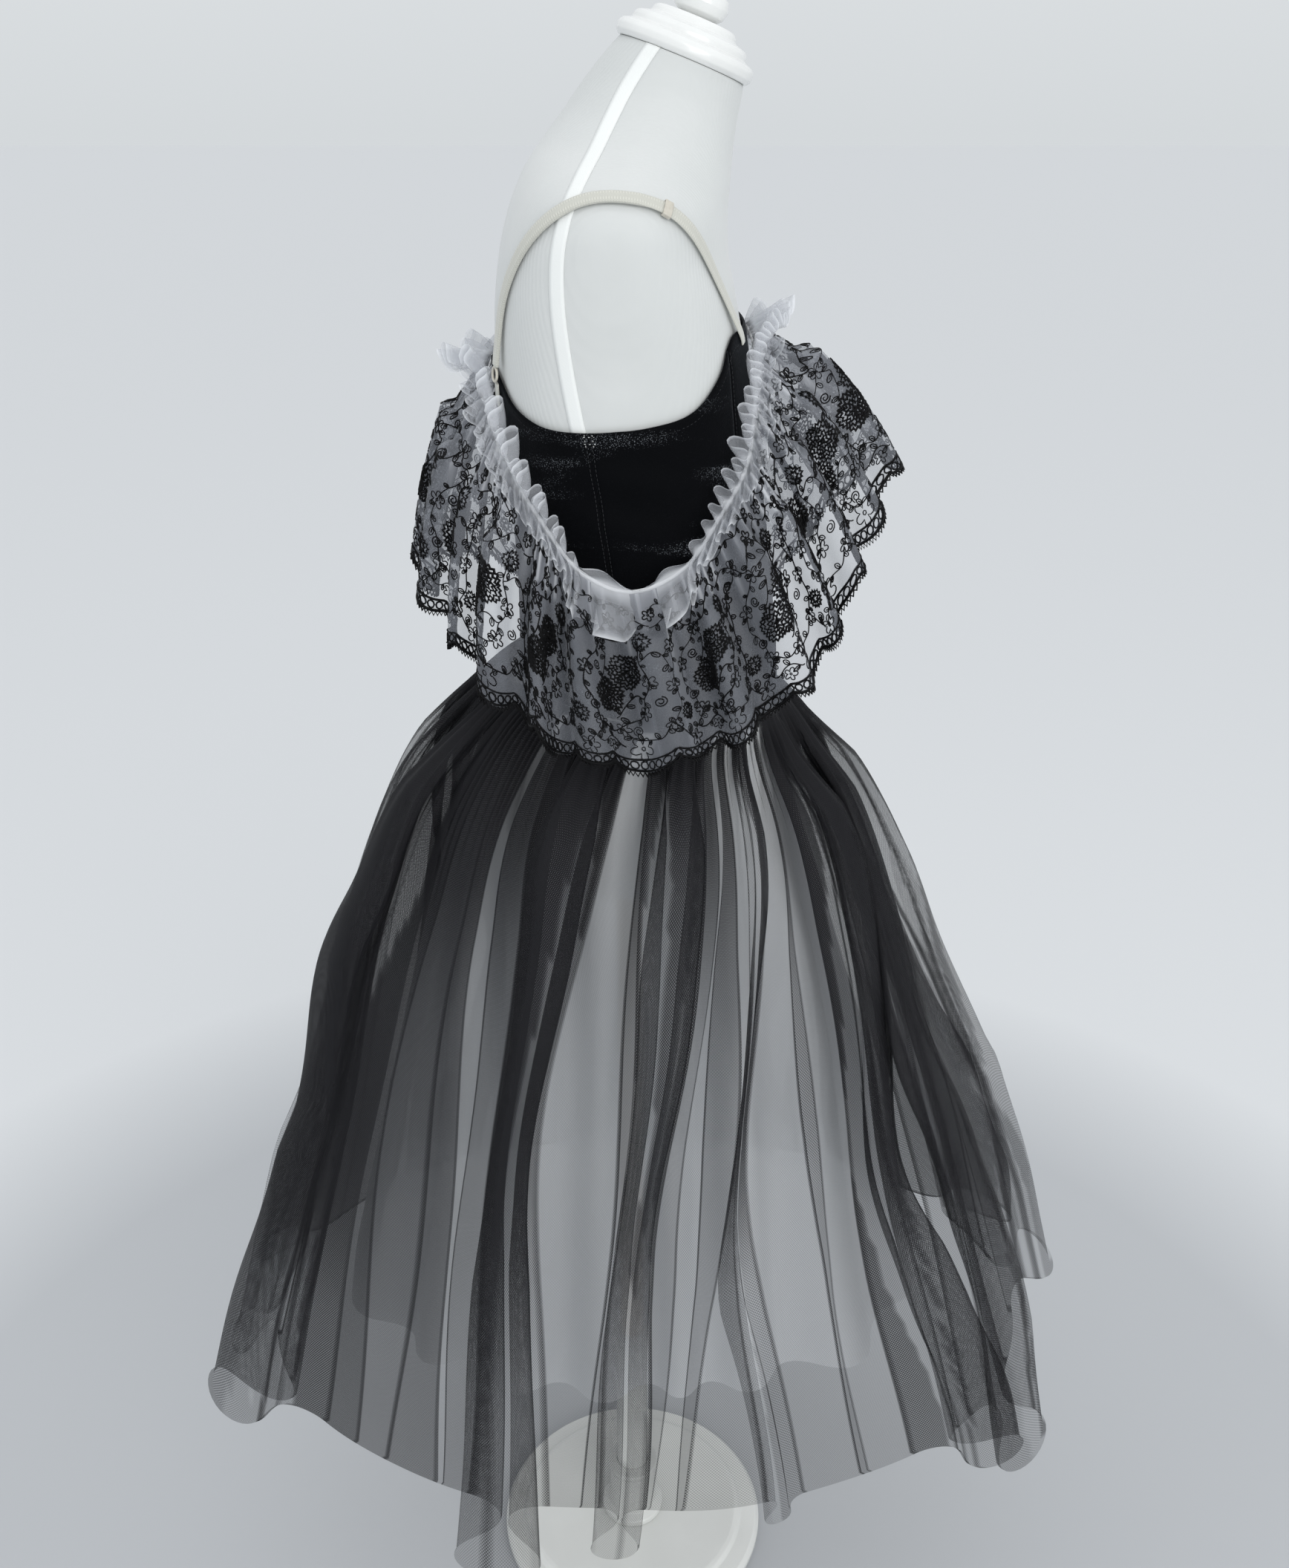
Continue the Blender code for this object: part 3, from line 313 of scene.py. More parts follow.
sections = np.linspace(TAPE_ROUTE[-1].section, TAPE_ROUTE[0].section, TAPE_SAMPLES)
angles = np.radians(curve_through(column(TAPE_ROUTE, "section"), column(TAPE_ROUTE, "angle"), sections))
middle = torso_point(sections, angles)
across = unit(torso_point(sections, angles + 0.01) - middle)
offsets = np.linspace(-1, 1, TAPE_STRANDS) * TAPE_HALF_WIDTH
hugged = [[nearest_on_torso(point) for point in middle + across * offset] for offset in offsets]
tape_grid = np.array([[hit + normal * TAPE_LIFT for hit, normal, _ in strand] for strand in hugged])
tape_uv = flat_grid(reach_along(middle), offsets)
for side, label in SIDES:
    grid = tape_grid * (-side, 1, 1)
    tape = cloth_mesh("seam_tape_" + label, grid, seam_tape, uv=tape_uv, thickness=TAPE_THICKNESS)
    fitted(tape)


# ---------------------------------------------------------------------------
# The neck cap and its ball: turned wood under white gloss lacquer, set square
# on the slanting cut of the neck. A profile is (radius, height), bottom first.

CORNER_ROUNDING = 0.0009
SHARP_EDGE = math.radians(50)
NECK_CAP_GAP = 0.0003
NECK_CAP_PROFILE = [
    (0, 0), (0.0440, 0), (0.0463, 0.0030), (0.0463, 0.0070), (0.0445, 0.0100), (0.0390, 0.0120),
    (0.0385, 0.0150), (0.0370, 0.0175), (0.0290, 0.0200), (0.0280, 0.0230), (0.0260, 0.0250), (0, 0.0255),
]
FINIAL_PROFILE = [
    (0, 0.0258), (0.0120, 0.0258), (0.0165, 0.0290), (0.0182, 0.0345), (0.0165, 0.0400), (0.0105, 0.0430),
    (0.0095, 0.0460), (0.0120, 0.0485), (0.0135, 0.0530), (0.0115, 0.0580), (0.0060, 0.0610), (0, 0.0618),
]


def eased(profile):
    """The same profile with its corners rounded off."""
    smooth = [profile[0]]
    for before, corner, after in np.array(list(zip(profile, profile[1:], profile[2:])), float):
        to_before = before - corner
        to_after = after - corner
        reach = min(CORNER_ROUNDING, min(np.linalg.norm(to_before), np.linalg.norm(to_after)) / 2.2)
        start = corner + unit(to_before) * reach
        end = corner + unit(to_after) * reach
        for t in (0.0, 0.33, 0.67, 1.0):
            smooth.append(tuple((1 - t) ** 2 * start + 2 * t * (1 - t) * corner + t**2 * end))
    return smooth + [profile[-1]]


def turned(name, profile, finish, segments=96, place=Matrix.Identity(4), ring=False):
    """A turned piece from its profile, as Blender's spin makes it."""
    profile = eased(profile)
    if ring:
        profile = profile + [profile[0]]
    shape = bmesh.new()
    points = [shape.verts.new((radius, 0, height)) for radius, height in profile]
    edges = [shape.edges.new(pair) for pair in zip(points, points[1:])]
    whole_turn = {"cent": (0, 0, 0), "axis": (0, 0, 1), "angle": FULL_TURN, "use_merge": True}
    bmesh.ops.spin(shape, geom=points + edges, steps=segments, **whole_turn)
    bmesh.ops.remove_doubles(shape, verts=shape.verts, dist=1e-6)
    bmesh.ops.recalc_face_normals(shape, faces=shape.faces)
    shape.transform(place)
    mesh = bpy.data.meshes.new(name)
    shape.to_mesh(mesh)
    shape.free()
    mesh.shade_smooth()
    mesh.set_sharp_from_angle(angle=SHARP_EDGE)
    mesh.materials.append(finish.material)
    return new_object(name, mesh)


def lacquer(name, color, roughness, grain):
    """Gloss paint: a clear coat over colour, slightly uneven as it flowed out."""
    finish = Finish(name, color, roughness, {"Coat Weight": 0.6, "Coat Roughness": 0.12})
    flow = finish.noise(grain, 4.0)
    finish.tint(flow, tuple(c * 0.95 for c in color), color)
    finish.bump(flow, 0.08, 0.0006)
    return finish


neck_cut = TORSO_SECTIONS[-1]
neck_front = Vector((0, neck_cut.front_y, neck_cut.front_z))
neck_back = Vector((0, neck_cut.back_y, neck_cut.back_z))
neck_axis = Vector((1, 0, 0)).cross((neck_back - neck_front).normalized())
neck_turn = Vector((0, 0, 1)).rotation_difference(neck_axis).to_matrix().to_4x4()
neck_place = Matrix.Translation((neck_front + neck_back) / 2 + neck_axis * NECK_CAP_GAP) @ neck_turn

cap_lacquer = lacquer("cap_lacquer", (0.80, 0.81, 0.80), 0.22, 30.0)
for name, profile in (("neck_cap", NECK_CAP_PROFILE), ("finial", FINIAL_PROFILE)):
    fitted(turned(name, profile, cap_lacquer, place=neck_place), "form_" + name)


# ---------------------------------------------------------------------------
# The stand: a heavy round steel base with a raised disc, a white tube with a
# turned foot, a height clamp, and a tan tube that goes up into the torso.

RUNNING_GAP = 0.0003
base_radius, _, base_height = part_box("form_base")[1]
disc_radius = base_radius - 0.022
foot_low, foot_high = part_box("form_foot_ring")
foot_radius = foot_high[0]
tube_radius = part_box("form_lower_pole")[1][0]
pole_radius, _, pole_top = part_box("form_upper_pole")[1]
clamp_low, clamp_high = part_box("form_clamp")
tube_top = clamp_low[2] - RUNNING_GAP
round_tube = tube_radius + RUNNING_GAP
round_pole = pole_radius + RUNNING_GAP

STAND_PROFILES = {
    "base": [
        (0, 0), (base_radius - 0.005, 0), (base_radius, 0.004), (base_radius, 0.009),
        (base_radius - 0.004, 0.0135), (disc_radius + 0.004, 0.015), (disc_radius + 0.001, 0.0185),
        (disc_radius - 0.003, base_height), (0, base_height),
    ],
    "foot_ring": [
        (round_tube, foot_low[2]), (foot_radius, foot_low[2]), (foot_radius, foot_low[2] + 0.006),
        (foot_radius - 0.007, foot_low[2] + 0.010), (foot_radius - 0.008, foot_high[2] - 0.010),
        (foot_radius - 0.006, foot_high[2] - 0.006), (foot_radius - 0.006, foot_high[2] - 0.002),
        (round_tube, foot_high[2]),
    ],
    "lower_pole": [(0, foot_low[2]), (tube_radius, foot_low[2]), (tube_radius, tube_top), (0, tube_top)],
    "clamp": [
        (round_pole, clamp_low[2]), (clamp_high[0] - 0.002, clamp_low[2]),
        (clamp_high[0], clamp_low[2] + 0.003), (clamp_high[0] - 0.001, clamp_high[2] - 0.006),
        (clamp_high[0] - 0.006, clamp_high[2]), (round_pole, clamp_high[2]),
    ],
}

stand_paint = lacquer("stand_paint", (0.74, 0.75, 0.73), 0.3, 18.0)
for name, profile in STAND_PROFILES.items():
    segments = 144 if name == "base" else 96
    piece = turned(name, profile, stand_paint, segments=segments, ring=name in ("foot_ring", "clamp"))
    fitted(piece, "form_" + name)

# A satin tan tube with a faint lengthwise grain.
pole_wood = Finish("pole_wood", (0.55, 0.44, 0.31), 0.4)
grain = pole_wood.noise(2.0, 6.0, pole_wood.stretched((60.0, 60.0, 4.0)))
pole_wood.tint(grain, (0.46, 0.36, 0.25), (0.60, 0.49, 0.36))
pole_wood.bump(grain, 0.1, 0.0004)
pole_profile = [(0, clamp_low[2]), (pole_radius, clamp_low[2]), (pole_radius, pole_top), (0, pole_top)]
fitted(turned("upper_pole", pole_profile, pole_wood), "form_upper_pole")


# ---------------------------------------------------------------------------
# The bodice: four panels of black stretch velvet - front, two side fronts and
# back - seamed at the princess lines and the sides, with a narrow turned hem.

VELVET_THICKNESS = 0.0012
BODICE_EASE = 0.0023
WAIST_FRONT_HEIGHT = 0.893
WAIST_BACK_HEIGHT = 0.919
WAIST_FRONT_REACH = 0.110
WAIST_BACK_REACH = 0.083
PRINCESS_SEAM_ANGLE = 40
SIDE_SEAM_ANGLE = 101
SEAM_GAP_ANGLE = 0.09
SEAM_DIP = 0.0007
SEAM_DIP_WIDTH = 1.6
HEM_RIDGE = 0.0004
HEM_RIDGE_SHARE = 0.035
PANEL_ROWS = 90
PANEL_COLUMNS_PER_DEGREE = 0.9
VELVET_UV_SIZE = (0.103, 0.25)
FRONT_LENGTH = 0.275
PANEL_LENGTH = 0.255
LEVEL_SECTIONS = TORSO_SECTIONS[:11]

NeckEdge = namedtuple("NeckEdge", "angle height")
BODICE_TOP = [
    NeckEdge(0, 1.163),
    NeckEdge(22, 1.163),
    NeckEdge(36, 1.159),
    NeckEdge(48, 1.139),
    NeckEdge(62, 1.121),
    NeckEdge(82, 1.111),
    NeckEdge(105, 1.107),
    NeckEdge(125, 1.110),
    NeckEdge(140, 1.120),
    NeckEdge(152, 1.135),
    NeckEdge(165, 1.142),
    NeckEdge(180, 1.140),
]

# Soft creases in the velvet: where, how far round, how they slope, how wide and how deep.
Crease = namedtuple("Crease", "angle height reach slope width depth")
BODICE_CREASES = [
    Crease(88, 1.075, 26, 0.010, 0.010, 0.0012),
    Crease(64, 1.058, 20, -0.020, 0.008, 0.0010),
    Crease(96, 1.044, 30, 0.016, 0.011, 0.0016),
    Crease(72, 1.026, 24, -0.014, 0.009, 0.0013),
    Crease(112, 1.012, 22, 0.020, 0.010, 0.0012),
    Crease(84, 0.992, 34, -0.010, 0.010, 0.0016),
    Crease(60, 0.972, 24, 0.014, 0.009, 0.0012),
    Crease(101, 0.956, 30, 0.010, 0.010, 0.0014),
    Crease(30, 1.030, 26, 0.012, 0.012, 0.0011),
    Crease(8, 0.985, 30, -0.010, 0.012, 0.0012),
    Crease(24, 0.950, 28, 0.008, 0.010, 0.0012),
    Crease(145, 1.050, 26, 0.012, 0.011, 0.0013),
    Crease(165, 1.000, 30, -0.012, 0.012, 0.0013),
    Crease(140, 0.968, 28, 0.010, 0.010, 0.0012),
]


def body_point(angle, height, clearance):
    """A point a clearance out from the level part of the torso; angle in radians from front."""
    heights = column(LEVEL_SECTIONS, "front_z")
    front, back, width, boxiness = [
        np.interp(height, heights, column(LEVEL_SECTIONS, field))
        for field in ("front_y", "back_y", "half_width", "boxiness")
    ]
    x, y = superellipse(angle, width + clearance, (back - front) / 2 + clearance, boxiness)
    return np.stack(np.broadcast_arrays(x, y + (front + back) / 2, height), axis=-1)


def waist_height(y):
    """The waist seam runs level from side to side and is lower in front."""
    share = (y + WAIST_FRONT_REACH) / (WAIST_FRONT_REACH + WAIST_BACK_REACH)
    return WAIST_FRONT_HEIGHT + (WAIST_BACK_HEIGHT - WAIST_FRONT_HEIGHT) * share


def folded_angle(degrees):
    """Degrees from the front, on either side."""
    return np.abs((degrees + 180) % 360 - 180)


def crease_height(degrees, height, handed):
    """How far the creases lift the velvet; the two sides are creased a little differently."""
    lift = np.zeros(np.broadcast(degrees, height).shape)
    for crease in BODICE_CREASES:
        along = (folded_angle(degrees) - crease.angle) / crease.reach
        middle = crease.height + crease.slope * along * handed
        across = (height - middle) / crease.width
        ridge_and_valley = np.exp(-(across**2)) - 0.5 * np.exp(-((across - 1.4) ** 2))
        lift += crease.depth * np.exp(-(along**2) * 2) * ridge_and_valley
    return lift


def bodice_surface(degrees, share, lift):
    """Points of the velvet at angles round the body and shares of the way up from the waist."""
    top = curve_through(column(BODICE_TOP, "angle"), column(BODICE_TOP, "height"), folded_angle(degrees))
    radians = np.radians(degrees)
    middle = (WAIST_FRONT_HEIGHT + WAIST_BACK_HEIGHT) / 2
    bottom = waist_height(body_point(radians, middle, BODICE_EASE)[..., 1])
    height = bottom + (top - bottom) * share
    handed = np.where(np.sin(radians) > 0, 1.0, -1.0)
    return body_point(radians, height, BODICE_EASE + lift + crease_height(degrees, height, handed))


def build_panel(name, first, last):
    columns = int((last - first) * PANEL_COLUMNS_PER_DEGREE)
    degrees = np.linspace(first + SEAM_GAP_ANGLE, last - SEAM_GAP_ANGLE, columns)
    share = np.linspace(0, 1, PANEL_ROWS)
    from_seam = np.minimum(degrees - first, last - degrees)
    dip = -SEAM_DIP * np.exp(-((from_seam / SEAM_DIP_WIDTH) ** 2))
    hem_ridge = HEM_RIDGE * np.exp(-(((1 - share) / HEM_RIDGE_SHARE) ** 4))
    grid = bodice_surface(degrees[None, :], share[:, None], dip[None, :] + hem_ridge[:, None])
    uv = flat_grid(np.radians(degrees), share) * VELVET_UV_SIZE
    return cloth_mesh(name, grid, velvet, uv=uv, thickness=VELVET_THICKNESS)


# Black stretch velvet: a short nap, with painted highlights: pale glints painted into its colour, scattered
# in banded patches.
velvet_shine = {
    "Sheen Weight": 0.08,
    "Sheen Roughness": 0.35,
    "Sheen Tint": (0.45, 0.50, 0.58, 1.0),
    "Specular IOR Level": 0.06,
}
velvet = Finish("velvet", (0.006, 0.0065, 0.008), 0.75, velvet_shine)
glint_patches = velvet.noise(1.0, 1.5, velvet.stretched((11.0, 11.0, 58.0), (0.22, 0.0, 0.0)))
glint_specks = velvet.noise(1300.0, 1.0)
painted_glints = velvet.math("MULTIPLY", velvet.range(glint_patches, 0.44, 0.68), velvet.range(glint_specks, 0.46, 0.78))
# Painted highlight: where the banded patches and the fine specks coincide, the colour turns from near black
# to a pale grey glint.
velvet.tint(painted_glints, (0.0012, 0.0015, 0.0022), (0.13, 0.14, 0.155))
velvet.bump(velvet.noise(900.0, 2.0), 0.55, 0.0006)

for panel_name, first, last, deep in (
    ("front", -PRINCESS_SEAM_ANGLE, PRINCESS_SEAM_ANGLE, FRONT_LENGTH),
    ("side_right", PRINCESS_SEAM_ANGLE, SIDE_SEAM_ANGLE, PANEL_LENGTH),
    ("side_left", -SIDE_SEAM_ANGLE, -PRINCESS_SEAM_ANGLE, PANEL_LENGTH),
    ("back", SIDE_SEAM_ANGLE, 360 - SIDE_SEAM_ANGLE, PANEL_LENGTH),
):
    panel = fitted(build_panel("velvet_" + panel_name, first, last), "bodice_" + panel_name)


# ---------------------------------------------------------------------------
# Sewing on the bodice: a line of black stitches under the turned top edge and
# beside the seams, and the white bar tacks at the top of the side seam.

STITCH_LIFT = VELVET_THICKNESS / 2 + 0.0001
HEM_STITCH_SHARE = 1 - 0.007 / 0.245
BESIDE_SEAM = (-1.1, 1.1)
TACK_RISES = (0.988, 0.966)
TACK_SIDES = (-1.6, 1.4)


def node_group(name, numbers):
    """A Geometry Nodes tree with named number inputs, its input sockets, and their identifiers."""
    tree = bpy.data.node_groups.new(name, "GeometryNodeTree")
    for way in ("INPUT", "OUTPUT"):
        tree.interface.new_socket("Geometry", in_out=way, socket_type="NodeSocketGeometry")
    sockets = [
        tree.interface.new_socket(label, in_out="INPUT", socket_type="NodeSocket" + kind)
        for label, kind in numbers.items()
    ]
    given = add_node(tree, "NodeGroupInput").outputs
    return tree, given, {socket.name: socket.identifier for socket in sockets}


def end_in_real_mesh(tree, geometry, finish):
    real = add_node(tree, "GeometryNodeRealizeInstances", {"Geometry": geometry})
    given = {"Geometry": real.outputs["Geometry"], "Material": finish.material}
    coated = add_node(tree, "GeometryNodeSetMaterial", given)
    add_node(tree, "NodeGroupOutput", {"Geometry": coated.outputs["Geometry"]})


def stitch_tree(name, finish):
    """Geometry Nodes that lay small round stitches end to end along edges of a wire mesh."""
    numbers = {"Spacing": "Float", "Stitch length": "Float", "Thread radius": "Float"}
    tree, given, keys = node_group(name, numbers)
    line = add_node(tree, "GeometryNodeMeshToCurve", {"Mesh": given["Geometry"]}).outputs["Curve"]
    spacing = {"Curve": line, "Length": given["Spacing"]}
    spaced = add_node(tree, "GeometryNodeResampleCurve", spacing, mode="LENGTH").outputs["Curve"]
    tangent = add_node(tree, "GeometryNodeInputTangent").outputs["Tangent"]
    turn = add_node(tree, "FunctionNodeAlignRotationToVector", {"Vector": tangent}, axis="Z")
    bead = add_node(tree, "GeometryNodeMeshUVSphere", {"Segments": 6, "Rings": 4, "Radius": 1.0})
    half = add_node(tree, "ShaderNodeMath", {0: given["Stitch length"], 1: 0.5}, operation="MULTIPLY")
    thick = given["Thread radius"]
    size = add_node(tree, "ShaderNodeCombineXYZ", {"X": thick, "Y": thick, "Z": half.outputs["Value"]})
    laid = {
        "Points": spaced,
        "Instance": bead.outputs["Mesh"],
        "Rotation": turn.outputs["Rotation"],
        "Scale": size.outputs["Vector"],
    }
    placed = add_node(tree, "GeometryNodeInstanceOnPoints", laid)
    end_in_real_mesh(tree, placed.outputs["Instances"], finish)
    return tree, keys


def grown(name, lines, tree_and_keys, numbers, radii=None):
    """The plain mesh that a node tree makes along lines of points."""
    edges = []
    start = 0
    for line in lines:
        edges += [(start + i, start + i + 1) for i in range(len(line) - 1)]
        start += len(line)
    wire_mesh = bpy.data.meshes.new(name + "_wires")
    wire_mesh.from_pydata(np.concatenate(lines).tolist(), edges, [])
    if radii is not None:
        wire_mesh.attributes.new("radius", "FLOAT", "POINT").data.foreach_set("value", radii)
    wires = new_object(name + "_wires", wire_mesh)
    tree, keys = tree_and_keys
    step = wires.modifiers.new("Nodes", "NODES")
    step.node_group = tree
    for label, value in numbers.items():
        step[keys[label]] = value
    graph = bpy.context.evaluated_depsgraph_get()
    mesh = bpy.data.meshes.new_from_object(wires.evaluated_get(graph), depsgraph=graph)
    mesh.name = name
    mesh.shade_smooth()
    bpy.data.objects.remove(wires, do_unlink=True)
    return new_object(name, mesh)


def thread(name, color, roughness, shine):
    finish = Finish(name, color, roughness, {"Specular IOR Level": shine})
    twist = finish.noise(1500.0, 1.0)
    finish.tint(twist, tuple(0.7 * c for c in color), tuple(1.3 * c for c in color))
    finish.bump(twist, 0.5, 0.0003)
    return finish


def velvet_line(degrees, share, count):
    """Evenly spaced points on the velvet; each of the two may be one value or a (first, last) pair."""
    degrees, share = [np.linspace(*(np.ravel(ends)[[0, -1]]), count) for ends in (degrees, share)]
    return bodice_surface(degrees, share, STITCH_LIFT)


SIDE_SEAMS = (SIDE_SEAM_ANGLE, 360 - SIDE_SEAM_ANGLE)
PRINCESS_SEAMS = (PRINCESS_SEAM_ANGLE, 360 - PRINCESS_SEAM_ANGLE)
hem_and_seams = [velvet_line((0.5, 359.5), HEM_STITCH_SHARE, 400)] + [
    velvet_line(seam + beside, (0.01, 0.985), 120)
    for seam in sorted(SIDE_SEAMS + PRINCESS_SEAMS)
    for beside in BESIDE_SEAM
]
black_thread = thread("black_thread", (0.020, 0.021, 0.024), 0.55, 0.3)
running_stitch = {"Spacing": 0.0030, "Stitch length": 0.0024, "Thread radius": 0.00022}
run_of_stitches = stitch_tree("run_of_stitches", black_thread)
stitches = grown("bodice_stitches", hem_and_seams, run_of_stitches, running_stitch)
fitted(stitches)

tack_lines = []
for seam in SIDE_SEAMS:
    tack_lines += [velvet_line((seam - 2.2, seam + 1.6), rise, 8) for rise in TACK_RISES]
    tack_lines += [velvet_line(seam + beside, (0.958, 0.993), 8) for beside in TACK_SIDES]
white_thread = thread("white_thread", (0.60, 0.61, 0.60), 0.6, 0.4)
tack_stitch = {"Spacing": 0.0024, "Stitch length": 0.0012, "Thread radius": 0.00024}
bar_tacks = grown("bar_tacks", tack_lines, stitch_tree("bar_tack", white_thread), tack_stitch)
fitted(bar_tacks)


# ---------------------------------------------------------------------------
# The off-shoulder ruffle's elastic: one narrow white elastic on each side that
# runs from centre front down under the arm and up to centre back.

ELASTIC_HEIGHT = 0.0032
ELASTIC_BARE_SHARE = 0.7
ELASTIC_THICKNESS = 0.0013
CENTRE_GAP = 0.0002
BAND_SIDES = 16

Loop = namedtuple("Loop", "out y z hem_out hem_y hem_z frill lean")
RUFFLE_LOOP = [
    Loop(0.000, -0.0826, 1.158, 0.000, -0.182, 1.067, 0.026, 18),
    Loop(0.040, -0.0850, 1.147, 0.050, -0.168, 1.043, 0.020, 20),
    Loop(0.066, -0.0845, 1.119, 0.085, -0.147, 1.003, 0.013, 25),
    Loop(0.088, -0.0790, 1.081, 0.112, -0.134, 0.965, 0.013, 32),
    Loop(0.107, -0.0610, 1.051, 0.138, -0.102, 0.934, 0.013, 30),
    Loop(0.121, -0.0370, 1.020, 0.158, -0.055, 0.908, 0.017, 22),
    Loop(0.128, -0.0020, 1.007, 0.167, 0.000, 0.901, 0.038, -8),
    Loop(0.122, 0.0310, 1.020, 0.160, 0.042, 0.910, 0.017, 22),
    Loop(0.108, 0.0560, 1.050, 0.141, 0.075, 0.933, 0.013, 32),
    Loop(0.090, 0.0740, 1.075, 0.110, 0.101, 0.955, 0.013, 34),
    Loop(0.066, 0.0870, 1.105, 0.070, 0.125, 0.976, 0.014, 36),
    Loop(0.036, 0.0935, 1.128, 0.034, 0.136, 0.991, 0.020, 42),
    Loop(0.000, 0.0936, 1.138, 0.000, 0.140, 1.001, 0.024, 45),
]
RUFFLE_SAMPLES = 481
Ruffle = namedtuple("Ruffle", "top hem run outward fall frill lean")


def ruffle_frame(side):
    """Elastic line with its run, outward and fall directions, the flounce's hem line, and the frill."""
    at = read_table(RUFFLE_LOOP, np.linspace(0, len(RUFFLE_LOOP) - 1, RUFFLE_SAMPLES))
    top = np.stack([side * at.out, at.y, at.z], axis=1)
    hem = np.stack([side * at.hem_out, at.hem_y, at.hem_z], axis=1)
    run = np.gradient(top, axis=0)
    run[0] = (side, 0, 0)
    run[-1] = (-side, 0, 0)
    run = unit(run)
    fall = hem - top
    fall = unit(fall - run * np.sum(fall * run, axis=1, keepdims=True))
    outward = np.cross(run, fall)
    outward *= np.sign(np.sum(outward * top * (1, 1, 0), axis=1, keepdims=True))
    return Ruffle(top, hem, run, outward, fall, at.frill, np.radians(at.lean))


def apart(line, side, gap=CENTRE_GAP):
    """The same line with both ends held off the body's middle plane."""
    line = line.copy()
    line[[0, -1], 0] += side * gap
    return line


def band_mesh(name, centre, across, up, width, thickness, finish):
    """A flat woven band: a rounded section carried along a line, with UV in metres."""
    turns = np.linspace(0, FULL_TURN, BAND_SIDES, endpoint=False)
    side_share = powered(np.cos(turns), 0.45)[None, :, None]
    up_share = powered(np.sin(turns), 0.7)[None, :, None]
    thickness = np.broadcast_to(thickness, len(centre))[:, None, None]
    grid = (
        centre[:, None]
        + across[:, None] * side_share * width / 2
        + up[:, None] * up_share * thickness / 2
    )
    round_share = np.append(turns, FULL_TURN) / FULL_TURN * width * 2
    uv = flat_grid(round_share, reach_along(centre))
    return cloth_mesh(name, grid, finish, uv=uv, closed=True, caps=True)


def woven_elastic(name, color):
    """Fine cross ribs and a soft lustre."""
    finish = Finish(name, color, 0.45, {"Sheen Weight": 0.3}, place="UV")
    woven = finish.math("MULTIPLY", finish.bands(190.0, 0.4, "Y"), finish.bands(150.0, 0.2, "X"))
    finish.tint(woven, tuple(0.86 * c for c in color), color)
    finish.bump(woven, 0.6, 0.0004)
    return finish


white_elastic = woven_elastic("white_elastic", (0.76, 0.77, 0.78))
ruffles = {side: ruffle_frame(side) for side, _ in SIDES}
for side, label in SIDES:
    ruffle = ruffles[side]
    line = apart(ruffle.top, side)
    height = ELASTIC_HEIGHT * ELASTIC_BARE_SHARE
    name = "ruffle_elastic_" + label
    elastic = band_mesh(name, line, ruffle.fall, ruffle.outward, height, ELASTIC_THICKNESS, white_elastic)
    fitted(elastic, "elastic_" + label)


# ---------------------------------------------------------------------------
# The flounce: sheer white organza, gathered on to the elastic and cut with a
# scalloped edge, so that it falls in soft folds over the bodice and the arm.

FLOUNCE_HALF_WIDTH = 0.81
FLOUNCE_DEPTH = 0.128
FLOUNCE_BELLY = 0.006
FLOUNCE_SAMPLES = 26
FLOUNCE_ROWS = 44
FLOUNCE_SEAM = 0.0002
LACE_REPEAT_WIDTH = 0.081
BIG_LOBE_WIDTH = 0.046
BIG_LOBE_DROP = 0.011
SMALL_LOBE_DROP = 0.006
GATHERS_PER_FOLD = 4
GATHER_DEPTH = 0.0016
GATHER_FADE = 0.22
GATHER_CREST_HIGHLIGHT = 0.9
GATHER_HIGHLIGHT_FADE = 0.34
PLEAT_HIGHLIGHT = 0.6
MOST_CROWDING = 3.0
FLOUNCE_FOLDS = {
    RIGHT: [1.2, 0.9, 1.1, 0.8, 1.2, 0.9, 1.3, 1.1, 0.8, 1.2, 0.9, 1.1, 1.0],
    LEFT: [1.0, 1.1, 0.8, 1.3, 0.9, 1.1, 1.0, 1.3, 0.9, 0.8, 1.2, 0.9, 1.2],
}

# How much longer the cloth of a fold is than the fold is wide, for each lean of its sides.
LEAN = np.linspace(0.0, 2.08, 200)
TURN = np.linspace(0.0, FULL_TURN, 200)
FULLNESS = 1 / np.array([np.mean(np.cos(lean * np.sin(TURN[:-1]))) for lean in LEAN])


def fold_shape(lean, samples):
    """One fold of constant cloth length, trough to trough, as (along 0 to 1, out / along)."""
    fine = np.linspace(0, 1, 241)
    direction = lean * np.sin(FULL_TURN * fine)
    middle = (direction[1:] + direction[:-1]) / 2
    along = np.concatenate([[0], np.cumsum(np.cos(middle))])
    out = np.concatenate([[0], np.cumsum(np.sin(middle))])
    out = (out - np.linspace(0, out[-1], len(out))) / along[-1]
    wanted = np.linspace(0, 1, samples + 1)[:-1]
    return np.interp(wanted, fine, along / along[-1]), np.interp(wanted, fine, out)


def lean_of(cloth, width, fullest):
    """How far a fold's sides lean so that it takes up its cloth."""
    return float(np.interp(min(fullest, cloth / width), FULLNESS, LEAN))


class Outline:
    """A polyline with outward directions, read by the share of its length."""

    def __init__(self, points, outwards, closed=False):
        self.closed = closed
        self.points = points
        self.outwards = outwards
        self.reach = reach_along(points)
        self.length = self.reach[-1]
        self.reach /= self.length

    def at(self, places):
        places = places % 1.0 if self.closed else places
        point, outward = [
            np.stack([np.interp(places, self.reach, values[:, k]) for k in range(3)], axis=-1)
            for values in (self.points, self.outwards)
        ]
        return point, unit(outward)


def folded_row(starts, cloth, outline, samples, fullest=99.0):
    """A row of points through all folds, each as deep as its cloth makes it."""
    places = []
    heights = []
    for begin, end, length in zip(starts, starts[1:], cloth):
        width = (end - begin) * outline.length
        along, out = fold_shape(lean_of(length, width, fullest), samples)
        places.append(begin + (end - begin) * along)
        heights.append(out * width)
    point, outward = outline.at(np.concatenate(places))
    return point + outward * np.concatenate(heights)[:, None]


